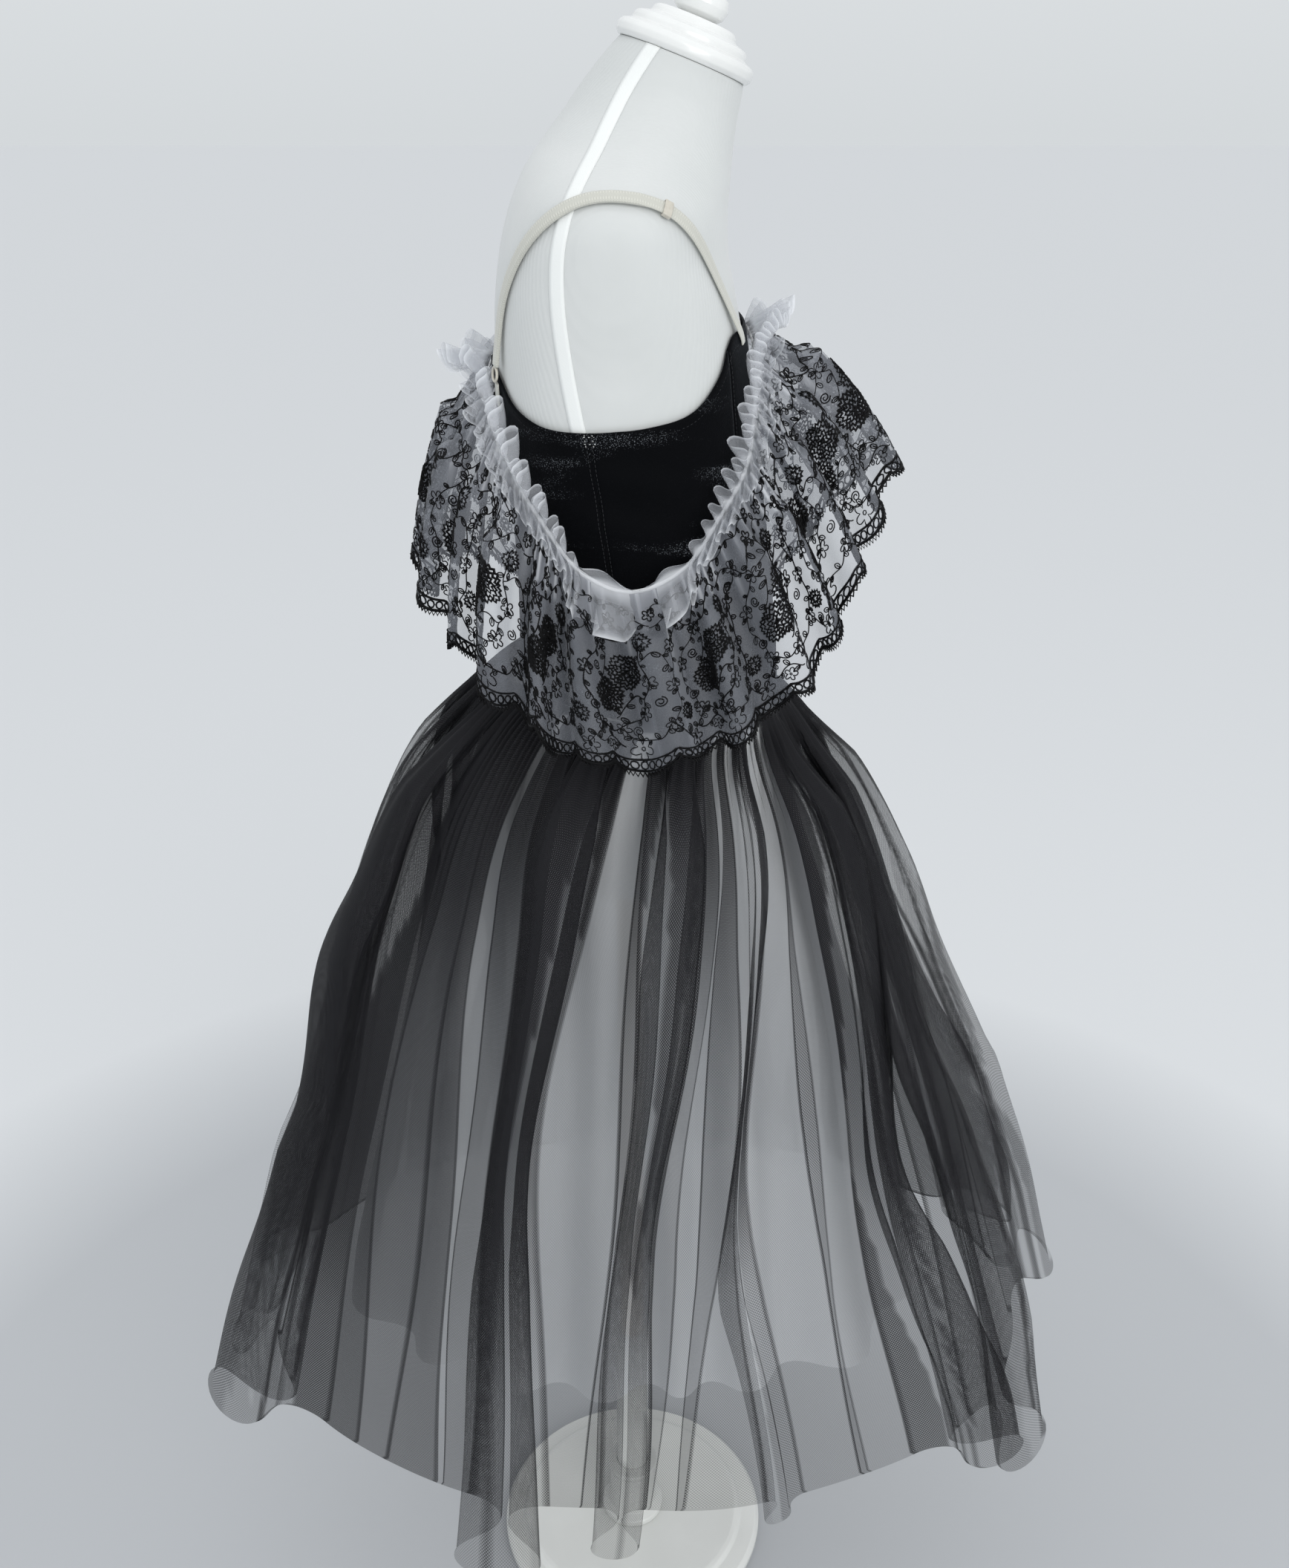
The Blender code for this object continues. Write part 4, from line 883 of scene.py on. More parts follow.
def scallops(flat):
    """How far the cut edge, in big and small lobes by turns, hangs below its mean line."""
    place = flat % LACE_REPEAT_WIDTH
    big = place < BIG_LOBE_WIDTH
    past_big = (place - BIG_LOBE_WIDTH) / (LACE_REPEAT_WIDTH - BIG_LOBE_WIDTH)
    share = np.where(big, place / BIG_LOBE_WIDTH, past_big)
    drop = np.where(big, BIG_LOBE_DROP, SMALL_LOBE_DROP)
    return drop * np.abs(np.sin(math.pi * share)) ** 0.6 - BIG_LOBE_DROP / 2


def flounce_grid(side):
    """Points of one half of the flounce, their place in the flat strip, and how thick it lies,
    with painted highlights counted in as extra thickness at steep pleats and gather crests.
    """
    ruffle = ruffles[side]
    shares = np.array(FLOUNCE_FOLDS[side])
    cloth = shares / shares.sum() * FLOUNCE_HALF_WIDTH
    borders = np.concatenate([[0], np.cumsum(cloth)]) / cloth.sum()
    start = ruffle.top + ruffle.fall * (ELASTIC_HEIGHT / 2 + FLOUNCE_SEAM)
    count = len(cloth) * FLOUNCE_SAMPLES + 1
    flat = np.linspace(0, FLOUNCE_HALF_WIDTH, count)
    even = np.linspace(0, 1, count)
    gathers = np.sin(even * FULL_TURN * GATHERS_PER_FOLD * len(cloth))
    grid = []
    layers = []
    for down in np.linspace(0, 1, FLOUNCE_ROWS):
        belly = ruffle.outward * FLOUNCE_BELLY * math.sin(math.pi * down)
        line = start + (ruffle.hem - start) * down + belly
        outline = Outline(line, ruffle.outward)
        fullest = np.interp(down, [0.0, 0.25, 0.5], [1.04, 1.25, 9.0])
        row = np.vstack([folded_row(borders, cloth, outline, FLOUNCE_SAMPLES, fullest), line[-1]])
        _, lifted = outline.at(even)
        row += lifted * (gathers * GATHER_DEPTH * math.exp(-((down / GATHER_FADE) ** 2)))[:, None]
        row[:, 2] -= scallops(flat) * down**6
        row = apart(row, side)
        grid.append(row)
        steps = np.linalg.norm(np.diff(row, axis=0), axis=1)
        path = np.convolve(np.append(steps, steps[-1]), np.ones(9) / 9, mode="same")
        crowding = np.clip(flat[1] / np.maximum(path, flat[1] / MOST_CROWDING), 1.0, MOST_CROWDING)
        unfolded, _ = Outline(line, line).at(even)
        facing = np.gradient(np.sum((row - unfolded) * lifted, axis=1)) / flat[1]
        # Painted highlights: steep pleat flanks and the crests of the gathers count as extra thicknesses, so
        # the organza shows whiter and more opaque there.
        pleat_highlights = PLEAT_HIGHLIGHT * np.minimum(1.0, np.abs(facing)) ** 20
        crest_highlights = (0.5 + 0.5 * gathers) ** 3 * math.exp(-((down / GATHER_HIGHLIGHT_FADE) ** 2))
        layers.append(crowding + pleat_highlights + GATHER_CREST_HIGHLIGHT * crest_highlights)
    return np.array(grid), flat_grid(flat, np.linspace(0, FLOUNCE_DEPTH, FLOUNCE_ROWS)), np.array(layers)


def cover_by_layers(finish, open_share, **settings):
    """Shuts out more where the cloth lies thicker, and gives back how thick that is."""
    layers = finish.node("Attribute", attribute_name="layers").outputs["Fac"]
    passed = finish.math("POWER", open_share, layers)
    finish.link(finish.math("SUBTRACT", 1.0, passed, **settings), "Alpha")
    return layers


def organza(name, color, cover, thick_color):
    """Sheer plain weave, mostly open between its threads, and whiter where it lies thick; on the
    flounce also where painted highlights are counted in as thickness.
    """
    finish = Finish(name, color, 0.5, {"Sheen Weight": 0.3, "Sheen Roughness": 0.4}, place="UV")
    finish.bump(finish.noise(900.0, 2.0), 0.3, 0.0003)
    layers = cover_by_layers(finish, 1 - cover)
    finish.tint(finish.range(layers, 1.0, 3.2), color, thick_color)
    return finish


flounce_organza = organza("flounce_organza", (0.26, 0.275, 0.31), 0.36, (0.76, 0.78, 0.82))
flounce_shapes = {}
for side, label in SIDES:
    grid, uv, layers = flounce_grid(side)
    flounce_shapes[side] = grid
    flounce = cloth_mesh("organza_flounce_" + label, grid, flounce_organza, uv=uv, layers=layers)
    fitted(flounce, "flounce_" + label)


# ---------------------------------------------------------------------------
# Embroidery on the flounce: black machine thread in a repeat of paired roses,
# outlined flowers, leaves and tendrils, with a border of eyelets and picots.
# It is drawn flat, in millimetres along and down the strip, then bent on to it.

Motif = namedtuple("Motif", "kind along down size turn")
LACE_REPEAT = [
    Motif("rose", 25, 58, 12.0, 10),
    Motif("rose", 41, 76, 11.5, 55),
    Motif("bud", 8, 37, 6.0, 0),
    Motif("bud", 67, 93, 5.5, 30),
    Motif("flower", 56, 27, 5.4, 0),
    Motif("flower", 71, 43, 5.2, 20),
    Motif("flower", 33, 21, 5.0, 44),
    Motif("flower", 7, 67, 5.2, 10),
    Motif("flower", 60, 60, 5.3, 50),
    Motif("flower", 75, 72, 5.0, 35),
    Motif("flower", 15, 89, 5.4, 15),
    Motif("flower", 52, 97, 5.2, 60),
    Motif("flower", 33, 100, 5.0, 30),
    Motif("flower", 79, 100, 5.0, 5),
    Motif("flower", 80, 18, 4.6, 25),
    Motif("flower", 44, 40, 5.0, 12),
    Motif("flower", 17, 12, 4.6, 66),
    Motif("flower", 23, 113, 8.4, 18),
    Motif("flower", 63, 114, 6.2, 40),
    Motif("flower", 44, 113, 4.6, 24),
    Motif("scroll", 3, 82, 3.8, 0),
    Motif("scroll", 66, 36, 3.6, 200),
    Motif("scroll", 56, 84, 3.8, -60),
    Motif("scroll", 24, 101, 3.6, 160),
    Motif("scroll", 69, 106, 3.6, 30),
    Motif("scroll", 50, 56, 3.6, 260),
]
VINES = [
    [(0, 26), (10, 20), (22, 29), (33, 22), (46, 36), (56, 27), (68, 24), (81, 26)],
    [(56, 27), (63, 36), (71, 43), (72, 57), (74, 70), (72, 86), (78, 99)],
    [(9, 36), (12, 51), (7, 67), (13, 77), (15, 87), (22, 92), (33, 99), (43, 100), (52, 97)],
    [(0, 100), (8, 108), (23, 108), (33, 99)],
    [(52, 97), (58, 106), (63, 112), (72, 108), (81, 100)],
    [(17, 12), (26, 10), (38, 13), (48, 10), (60, 14), (72, 10), (80, 18)],
    [(22, 29), (30, 36), (44, 40), (52, 48), (60, 60), (62, 72), (56, 84), (52, 97)],
    [(12, 51), (4, 46), (-3, 50), (-7, 60)],
    [(36, 92), (30, 84), (20, 76), (13, 77)],
    [(44, 40), (38, 46), (40, 56), (46, 64)],
    [(33, 112), (40, 107), (50, 110), (58, 106)],
]
MILLIMETRE = 0.001
VINE_WAVE = 0.0016
VINE_LEAF_SPACING = 0.0074
VINE_LEAF_TURN = 55
THREAD_RADIUS = {"rose": 0.00125, "bud": 0.00105, "flower": 0.00052, "leaf": 0.00050, "scroll": 0.00052}
THREAD_SIDES = 3
CORD_RISE = 0.0008
CORD_RADIUS = 0.0013
CORD_SPACING = 0.0016
HEADING_RISE = 0.0078
HEADING_RADIUS = 0.0010
HEADING_SPACING = 0.0020
EDGE_THREAD_RADIUS = 0.0008
EYELET_SPACING = 0.0060
EYELET_RADIUS = 0.0025
EYELET_RISE = 0.0043
PICOT_SPACING = 0.0028
PICOT_LENGTH = 0.0013

# Rings of a rose or a bud from above: share of its size, petals, and stitches round it.
PETAL_RINGS = {
    "rose": [(1.0, 5, 50), (0.78, 5, 38), (0.56, 4, 28), (0.35, 4, 18), (0.15, 3, 8)],
    "bud": [(1.0, 4, 30), (0.5, 3, 16)],
}
SATIN_STITCH = 0.85


def angles_round(turn, count, rounds=1.0):
    return np.linspace(0, rounds * FULL_TURN, count) + math.radians(turn)


def polar(angles, radius):
    return np.stack([radius * np.cos(angles), radius * np.sin(angles)], axis=1)


def motif_lines(kind, size, turn):
    """Lines of one motif round (0, 0), in its own flat plane."""
    lines = []
    for reach, petals, count in PETAL_RINGS.get(kind, []):
        angles = angles_round(turn + 40 * reach, count)
        lobes = 0.86 + 0.16 * np.abs(np.sin((angles - angles[0]) * petals / 2))
        lines.append(polar(angles, size * reach * lobes + SATIN_STITCH * (-1.0) ** np.arange(count)))
    if kind == "flower":
        angles = angles_round(turn, 38)
        petals = 0.22 + 0.78 * np.abs(np.cos(2.5 * (angles - angles[0]))) ** 0.6
        lines = [polar(angles, size * petals), polar(angles_round(turn, 7), size * 0.16)]
    elif kind == "scroll":
        lines = [polar(angles_round(turn, 22, 1.7), size * np.linspace(0.12, 1.0, 22) ** 0.8)]
    elif kind == "leaf":
        share = np.linspace(0, math.pi, 7)
        edge = np.stack([(1.25 - np.cos(share)) * size / 2, np.sin(share) ** 1.2 * size * 0.27], axis=1)
        rib = np.stack([np.linspace(0.0, 0.8, 3) * size, np.zeros(3)], axis=1)
        sine, cosine = math.sin(math.radians(turn)), math.cos(math.radians(turn))
        spin = np.array([[cosine, sine], [-sine, cosine]])
        lines = [np.concatenate([edge, (edge * (1, -1))[::-1]]) @ spin, rib @ spin]
    return lines


def vine_lines(knots):
    """A wavy stem through its knots, with leaves on both sides by turns."""
    places = np.linspace(0, len(knots) - 1, 6 * len(knots))
    along, down = [curve_through(range(len(knots)), values, places) * MILLIMETRE for values in zip(*knots)]
    stem = np.stack([along, down + VINE_WAVE * np.sin(places * 3.0)], axis=1)
    lines = [stem]
    reach = reach_along(stem)
    for number, place in enumerate(np.arange(VINE_LEAF_SPACING / 2, reach[-1], VINE_LEAF_SPACING)):
        foot, ahead = [
            np.array([np.interp(at, reach, stem[:, 0]), np.interp(at, reach, stem[:, 1])])
            for at in (place, place + MILLIMETRE)
        ]
        heading = math.degrees(math.atan2(*(ahead - foot)[::-1]))
        size = 4.4 + 0.9 * math.sin(number * 2.3)
        for line in motif_lines("leaf", size, heading + VINE_LEAF_TURN * (-1) ** number):
            lines.append(line * MILLIMETRE + foot)
    return lines


def flat_embroidery():
    """All lines of one half of the flounce as (points in flat metres, thread radius)."""
    lines = []
    for begin in np.arange(0, FLOUNCE_HALF_WIDTH - MILLIMETRE, LACE_REPEAT_WIDTH):
        for kind, along, down, size, turn in LACE_REPEAT:
            middle = (begin + along * MILLIMETRE, down * MILLIMETRE)
            for line in motif_lines(kind, size, turn):
                lines.append((line * MILLIMETRE + middle, THREAD_RADIUS[kind]))
        for knots in VINES:
            lines += [(line + (begin, 0), THREAD_RADIUS["leaf"]) for line in vine_lines(knots)]
    for rise, radius, spacing in (
        (CORD_RISE, CORD_RADIUS, CORD_SPACING),
        (HEADING_RISE, HEADING_RADIUS, HEADING_SPACING),
    ):
        run = np.arange(0, FLOUNCE_HALF_WIDTH, spacing)
        lines.append((np.stack([run, np.full(len(run), FLOUNCE_DEPTH - rise)], axis=1), radius))
    eyelet = polar(angles_round(0, 9), EYELET_RADIUS) + (0, FLOUNCE_DEPTH - EYELET_RISE)
    for middle in np.arange(EYELET_SPACING / 2, FLOUNCE_HALF_WIDTH, EYELET_SPACING):
        lines.append((eyelet + (middle, 0), EDGE_THREAD_RADIUS))
    run = np.arange(0, FLOUNCE_HALF_WIDTH, PICOT_SPACING / 2)
    teeth = FLOUNCE_DEPTH + PICOT_LENGTH * (1 + (-1.0) ** np.arange(len(run)))
    lines.append((np.stack([run, teeth], axis=1), EDGE_THREAD_RADIUS))
    return lines


def bent_on(grid, flat):
    """Flat points of the strip carried on to its folded surface; they may pass its edge a little."""
    rows, columns = grid.shape[:2]
    across = np.clip(flat[:, 0] / FLOUNCE_HALF_WIDTH * (columns - 1), 0, columns - 1.001)
    down = np.maximum(flat[:, 1] / FLOUNCE_DEPTH * (rows - 1), 0)
    i = np.minimum(down.astype(int), rows - 2)
    j = across.astype(int)
    di = (down - i)[:, None]
    dj = (across - j)[:, None]
    upper, lower = [grid[k, j] * (1 - dj) + grid[k, j + 1] * dj for k in (i, i + 1)]
    return upper * (1 - di) + lower * di


def thread_tree(finish):
    """Geometry Nodes that turn the edges of a wire mesh into thread of a stored radius."""
    tree, given, keys = node_group("embroidery_thread", {"Thread scale": "Float", "Sides": "Int"})
    line = add_node(tree, "GeometryNodeMeshToCurve", {"Mesh": given["Geometry"]}).outputs["Curve"]
    circle = {"Resolution": given["Sides"], "Radius": 1.0}
    profile = add_node(tree, "GeometryNodeCurvePrimitiveCircle", circle).outputs["Curve"]
    stored = add_node(tree, "GeometryNodeInputNamedAttribute", {"Name": "radius"}).outputs["Attribute"]
    radius = add_node(tree, "ShaderNodeMath", {0: stored, 1: given["Thread scale"]}, operation="MULTIPLY")
    drawn = {"Curve": line, "Profile Curve": profile, "Scale": radius.outputs["Value"]}
    end_in_real_mesh(tree, add_node(tree, "GeometryNodeCurveToMesh", drawn).outputs["Mesh"], finish)
    return tree, keys


embroidery_thread = thread("embroidery_thread", (0.004, 0.004, 0.0045), 0.6, 0.12)
tree_and_keys = thread_tree(embroidery_thread)
flat_lines = flat_embroidery()
radii = np.concatenate([np.full(len(line), radius) for line, radius in flat_lines])
for side, label in SIDES:
    bent = [bent_on(flounce_shapes[side], line) for line, _ in flat_lines]
    numbers = {"Thread scale": 1.0, "Sides": THREAD_SIDES}
    fitted(grown("embroidery_" + label, bent, tree_and_keys, numbers, radii))


# ---------------------------------------------------------------------------
# The frill: a narrow strip of white organza, gathered along its middle on to the
# elastic, so that both its edges stand off in small loops; under the arm it hangs.

FRILL_FOLDS = 38
FRILL_SAMPLES = 14
FRILL_ROWS = 9
FRILL_STANDOFF = 0.0013
FRILL_CENTRE_GAP = 0.0009
FRILL_CLOTH = (0.95, 0.029)
FRILL_FULLNESS = [1.15, 1.7, 2.3, 2.6]
FRILL_LOWER_DEPTH = 0.0115
FRILL_LOWER_LEAN = -60
LEAF_LENGTH = 0.046
LEAF_LEAN = -68
LEAF_REACH = 0.14
LEAF_WIDENING = 3.4
LEAF_FLATNESS = 0.7
LEAF_ROUNDING = 0.66
UPPER_GAP = 0.30
BARE_FLATNESS = 0.96
BARE_SHORTENING = 0.93
TUFT_LENGTH = 0.004
TUFT_LEAN = -36
LOOP_ROUNDING = 0.16
LOOP_WIDTH_CHANGE = 0.22
LOOP_HEIGHT_CHANGE = 0.18
RIM_LAYERS = 1.6
FOOT_LAYERS = 1.4


def frill_grid(side):
    """Both edges of the strip in close loops, as points, UV and thicknesses, lower edge first."""
    top, _, run, outward, fall, upper, upper_lean = ruffles[side]
    share = np.linspace(-1, 1, len(top))
    leaf = np.exp(-((share / LEAF_REACH) ** 4))
    bare = np.exp(-((share / UPPER_GAP) ** 4))
    tuft = np.clip((np.abs(share) - 0.8) / 0.12, 0, 1)
    foot = top + outward * (ELASTIC_THICKNESS / 2 + FRILL_STANDOFF)
    number = np.arange(FRILL_FOLDS)
    big = np.exp(-((number - FRILL_FOLDS / 2 + 0.5) ** 2))
    widths = 1 + LOOP_WIDTH_CHANGE * np.sin(number * 2.4) + LEAF_WIDENING * big
    borders = np.concatenate([[0], np.cumsum(widths)]) / widths.sum()
    bare_fold = np.interp((borders[1:] + borders[:-1]) - 1, share, bare)
    count = FRILL_FOLDS * FRILL_SAMPLES + 1
    phase = np.tile(np.linspace(0, 1, FRILL_SAMPLES + 1)[:-1], FRILL_FOLDS)
    grid = []
    layers = []
    upwards = np.linspace(0, 1, FRILL_ROWS)
    for down in np.concatenate([-upwards[:0:-1], upwards]):
        reach = abs(down)
        if down < 0:
            length = FRILL_LOWER_DEPTH * (1 - leaf) + LEAF_LENGTH * leaf
            lean = np.radians(FRILL_LOWER_LEAN + (LEAF_LEAN - FRILL_LOWER_LEAN) * leaf)
            dip = LOOP_ROUNDING + LEAF_ROUNDING * big
        else:
            length = upper * (1 - BARE_SHORTENING * bare) + TUFT_LENGTH * tuft
            lean = upper_lean * (1 - tuft) + math.radians(TUFT_LEAN) * tuft
            dip = np.full(FRILL_FOLDS, LOOP_ROUNDING)
        away = -fall * np.sin(lean)[:, None] + outward * np.cos(lean)[:, None]
        wave_axis = np.cross(run, -fall * 0.3 + outward if reach < 0.1 else away)
        wave_axis *= np.sign(-np.sum(wave_axis * fall, axis=1, keepdims=True))
        outline = Outline(foot + away * (length * reach)[:, None], wave_axis)
        flatness = LEAF_FLATNESS * big if down < -0.3 else BARE_FLATNESS * bare_fold
        fullness = 1 + (np.interp(reach, [0.0, 0.3, 0.7, 1.0], FRILL_FULLNESS) - 1) * (1 - flatness)
        gathered = np.diff(borders) * outline.length * fullness
        row = np.vstack([folded_row(borders, gathered, outline, FRILL_SAMPLES), outline.points[-1]])
        root = Outline(foot, wave_axis).at(np.append(borders[:-1].repeat(FRILL_SAMPLES), 1.0))[0]
        loop_height = 1 + LOOP_HEIGHT_CHANGE * np.sin(number * 3.1 + side + math.copysign(1, down))
        rounded = 1 - dip.repeat(FRILL_SAMPLES) * (1 - np.sin(math.pi * phase) ** 0.7)
        height = np.append(loop_height.repeat(FRILL_SAMPLES) * rounded, 1.0)
        height = np.convolve(np.pad(height, 1, mode="edge"), np.ones(3) / 3, mode="valid")
        row += (row - root) * (height - 1)[:, None] * reach
        grid.append(apart(row, side, FRILL_CENTRE_GAP))
        thick = 1.0 + RIM_LAYERS * (reach > 0.9) + FOOT_LAYERS * max(0.0, 1 - reach / 0.4)
        layers.append(np.full(count, thick))
    wide, deep = FRILL_CLOTH
    uv = flat_grid(np.linspace(0, wide, count), np.linspace(0, deep, len(grid)))
    return np.array(grid), uv, np.array(layers)


frill_organza = organza("frill_organza", (0.62, 0.64, 0.68), 0.30, (0.84, 0.86, 0.90))
for side, label in SIDES:
    grid, uv, layers = frill_grid(side)
    frill = cloth_mesh("organza_frill_" + label, grid, frill_organza, uv=uv, layers=layers)
    fitted(frill, "frill_" + label)


# ---------------------------------------------------------------------------
# Shoulder straps: cream ribbed elastic. Each is sewn to the front edge, passes
# a slider, doubles back over the shoulder to a ring, which a short tab holds.

STRAP_SECTIONS = 145
STRAP_WIDTH = 0.0085
STRAP_THICKNESS = 0.0013
STRAP_DOUBLED_FROM = 0.47
DOUBLING_REACH = 0.02
TOUCH_GAP = 0.0003
SLIDER_ROOM = 0.0009
SLIDER_WALL = 0.0007
SLIDER_LENGTH = 0.0055
RING_RADIUS = 0.0046
RING_WIRE = 0.0009
TAB_LENGTH = 0.016
TAB_LIFT = 0.0046
RoutePoint = namedtuple("RoutePoint", "out y z lift")
STRAP_ROUTE = [
    RoutePoint(0.0695, -0.085, 1.1565, 0.0046),
    RoutePoint(0.071, -0.084, 1.162, 0.0046),
    RoutePoint(0.079, -0.077, 1.175, 0.0032),
    RoutePoint(0.091, -0.066, 1.193, 0.0022),
    RoutePoint(0.104, -0.048, 1.213, 0.0026),
    RoutePoint(0.115, -0.027, 1.231, 0.0034),
    RoutePoint(0.122, -0.005, 1.240, 0.0034),
    RoutePoint(0.124, 0.018, 1.243, 0.0030),
    RoutePoint(0.119, 0.041, 1.233, 0.0028),
    RoutePoint(0.106, 0.063, 1.213, 0.0026),
    RoutePoint(0.091, 0.081, 1.187, 0.0026),
    RoutePoint(0.080, 0.088, 1.160, 0.0030),
    RoutePoint(0.075, 0.089, 1.1415, 0.0048),
]


def smoothed(values, rounds):
    for _ in range(rounds):
        values[1:-1] = values[1:-1] / 2 + (values[2:] + values[:-2]) / 4
    return values


def strap_line(side):
    """Middle of the strap, with its outward directions, clear of the torso by its lift."""
    wanted = np.linspace(0, len(STRAP_ROUTE) - 1, STRAP_SECTIONS)
    at = read_table(STRAP_ROUTE, wanted)
    found = [nearest_on_torso(point) for point in np.stack([side * at.out, at.y, at.z], axis=1)]
    hits, normals = [np.array(values) for values in list(zip(*found))[:2]]
    outward = unit(smoothed(normals, rounds=60))
    centre = smoothed(hits + outward * at.lift[:, None], rounds=12)
    for i, point in enumerate(centre):
        hit, normal, distance = nearest_on_torso(point)
        inside = np.dot(point - hit, normal) < 0
        centre[i] = point + normal * max(0.0, at.lift[i] + (distance if inside else -distance))
    return smoothed(centre, rounds=10), outward, wanted / wanted[-1]


def across_and_up(centre, outward):
    run = unit(np.gradient(centre, axis=0))
    across = unit(np.cross(run, outward))
    up = np.cross(across, run)
    return across, up * np.sign(np.sum(up * outward, axis=1, keepdims=True))


def slider_mesh(name, place, across, up, along):
    """A rounded rectangular sleeve of coated metal that the strap passes through."""
    turns = np.linspace(0, FULL_TURN, 40, endpoint=False)
    wide = across * powered(np.cos(turns), 0.35)[:, None]
    high = up * powered(np.sin(turns), 0.35)[:, None]
    rings = []
    for grow, end in ((0, -1), (0.5, -1.06), (1, -0.9), (1, 0.9), (0.5, 1.06), (0, 1), (0, -1)):
        half_wide = (STRAP_WIDTH + SLIDER_ROOM) / 2 + grow * SLIDER_WALL
        half_high = (STRAP_THICKNESS + SLIDER_ROOM) / 2 + grow * SLIDER_WALL
        rings.append(place + (wide * half_wide + high * half_high) + along * end * SLIDER_LENGTH / 2)
    return cloth_mesh(name, rings, coated_metal, closed=True)


def ring_mesh(name, middle, down, face):
    """A ring of round wire that lies square to face."""
    turns = np.linspace(0, FULL_TURN, 48, endpoint=False)
    spokes = down * np.cos(turns)[:, None] + np.cross(down, face) * np.sin(turns)[:, None]
    rings = [
        middle + spokes * (RING_RADIUS + RING_WIRE * math.cos(twist)) + face * RING_WIRE * math.sin(twist)
        for twist in np.linspace(0, FULL_TURN, 15)
    ]
    return cloth_mesh(name, rings, coated_metal, closed=True)


# Wire and pressed metal under a thin cream plastic coat.
coated_metal = Finish("cream_coated_metal", (0.56, 0.53, 0.46), 0.28, {"Coat Weight": 0.4})
wear = coated_metal.noise(300.0, 3.0)
coated_metal.tint(wear, (0.50, 0.47, 0.40), (0.60, 0.57, 0.50))
coated_metal.bump(wear, 0.15, 0.0002)

cream_elastic = woven_elastic("cream_elastic", (0.62, 0.62, 0.56))
for side, label in SIDES:
    centre, outward, share = strap_line(side)
    across, up = across_and_up(centre, outward)
    second_layer = STRAP_THICKNESS + TOUCH_GAP
    thick = STRAP_THICKNESS + second_layer * np.clip((share - STRAP_DOUBLED_FROM) / DOUBLING_REACH, 0, 1)
    strap = band_mesh("shoulder_strap_" + label, centre, across, up, STRAP_WIDTH, thick, cream_elastic)
    fitted(strap, "strap_" + label)

    joint = int(np.argmax(share >= STRAP_DOUBLED_FROM)) - 5
    along = unit(centre[joint + 2] - centre[joint - 2])
    slider = slider_mesh("strap_slider_" + label, centre[joint], across[joint], up[joint], along)
    fitted(slider, "slider_" + label)

    down = unit(centre[-1] - centre[-7])
    face = unit(up[-1] - down * np.dot(up[-1], down))
    to_ring = down * (RING_RADIUS + RING_WIRE + TOUCH_GAP)
    ring = ring_mesh("strap_ring_" + label, centre[-1] + to_ring, down, face)
    fitted(ring, "ring_" + label)

    begin = centre[-1] + to_ring + to_ring
    found = [nearest_on_torso(begin + down * step) for step in np.linspace(0, TAB_LENGTH, 13)]
    hits, normals = [np.array(values) for values in list(zip(*found))[:2]]
    facing = unit(normals)
    line = smoothed(hits + facing * TAB_LIFT, rounds=4)
    across, up = across_and_up(line, facing)
    tab = band_mesh("strap_tab_" + label, line, across, up, STRAP_WIDTH, STRAP_THICKNESS, cream_elastic)
    fitted(tab, "tab_" + label)


# ---------------------------------------------------------------------------
# The skirt: one wide piece of soft black tulle, gathered into the bodice's
# point. It hangs in deep rounded flutes with flat stretches of net between.

HEM_HEIGHT = 0.293
SKIRT_BOXINESS = 2.12
WAIST_SEAM_GAP = 0.0005
LEAN_OVER = 2.2
LEAN_CHANGE = 0.9
CRINKLE = 0.12
LAID_FLAT_FROM = 1.2
LAID_FLAT_RIM = 0.5
EDGE_LINE = 6.0
EDGE_LINE_WIDTH = 0.11
FOLD_LINE = 3.5
EDGE_WANDER = 0.0036
NARROWEST_SHARE = 0.0008
LAID_AT_WAIST = 1.1
LAID_LOSS = 0.55
WAIST_TURN_IN = 0.0025
WAIST_LAYERS = 12.0
WAIST_PACKING = 2.6
WAIST_PACKING_REACH = 0.12
WAIST_GATHER_DEPTH = 0.0022
WAIST_GATHER_WIDTH = 0.032
WAIST_GATHER_START = 0.015
WAIST_GATHER_FADE = 0.09
HEM_UNEVENNESS = 0.005
FLUTE_SAMPLES = 56
FLAT_SAMPLES = 20
NARROW_SAMPLES = 2
NARROWEST_FLAT = 0.01
SKIRT_ROWS = 60
OUTLINE_POINTS = 361
CLOTH_IN_SURFACE = 0.70
NET_MESH_SIZE = 0.0021
NET_STRETCH = 0.87
NET_COVER = 0.31
NET_SWING = 0.24

Level = namedtuple("Level", "drop front back side fullest")
SKIRT_LEVELS = [
    Level(0.000, 0.1155, 0.0885, 0.1085, 1.25),
    Level(0.022, 0.1250, 0.1110, 0.1180, 1.90),
    Level(0.065, 0.1500, 0.1460, 0.1430, 3.60),
    Level(0.160, 0.1920, 0.1910, 0.1590, 4.40),
    Level(0.350, 0.2700, 0.2480, 0.1880, 4.90),
    Level(0.613, 0.3490, 0.3240, 0.2330, 9.00),
]

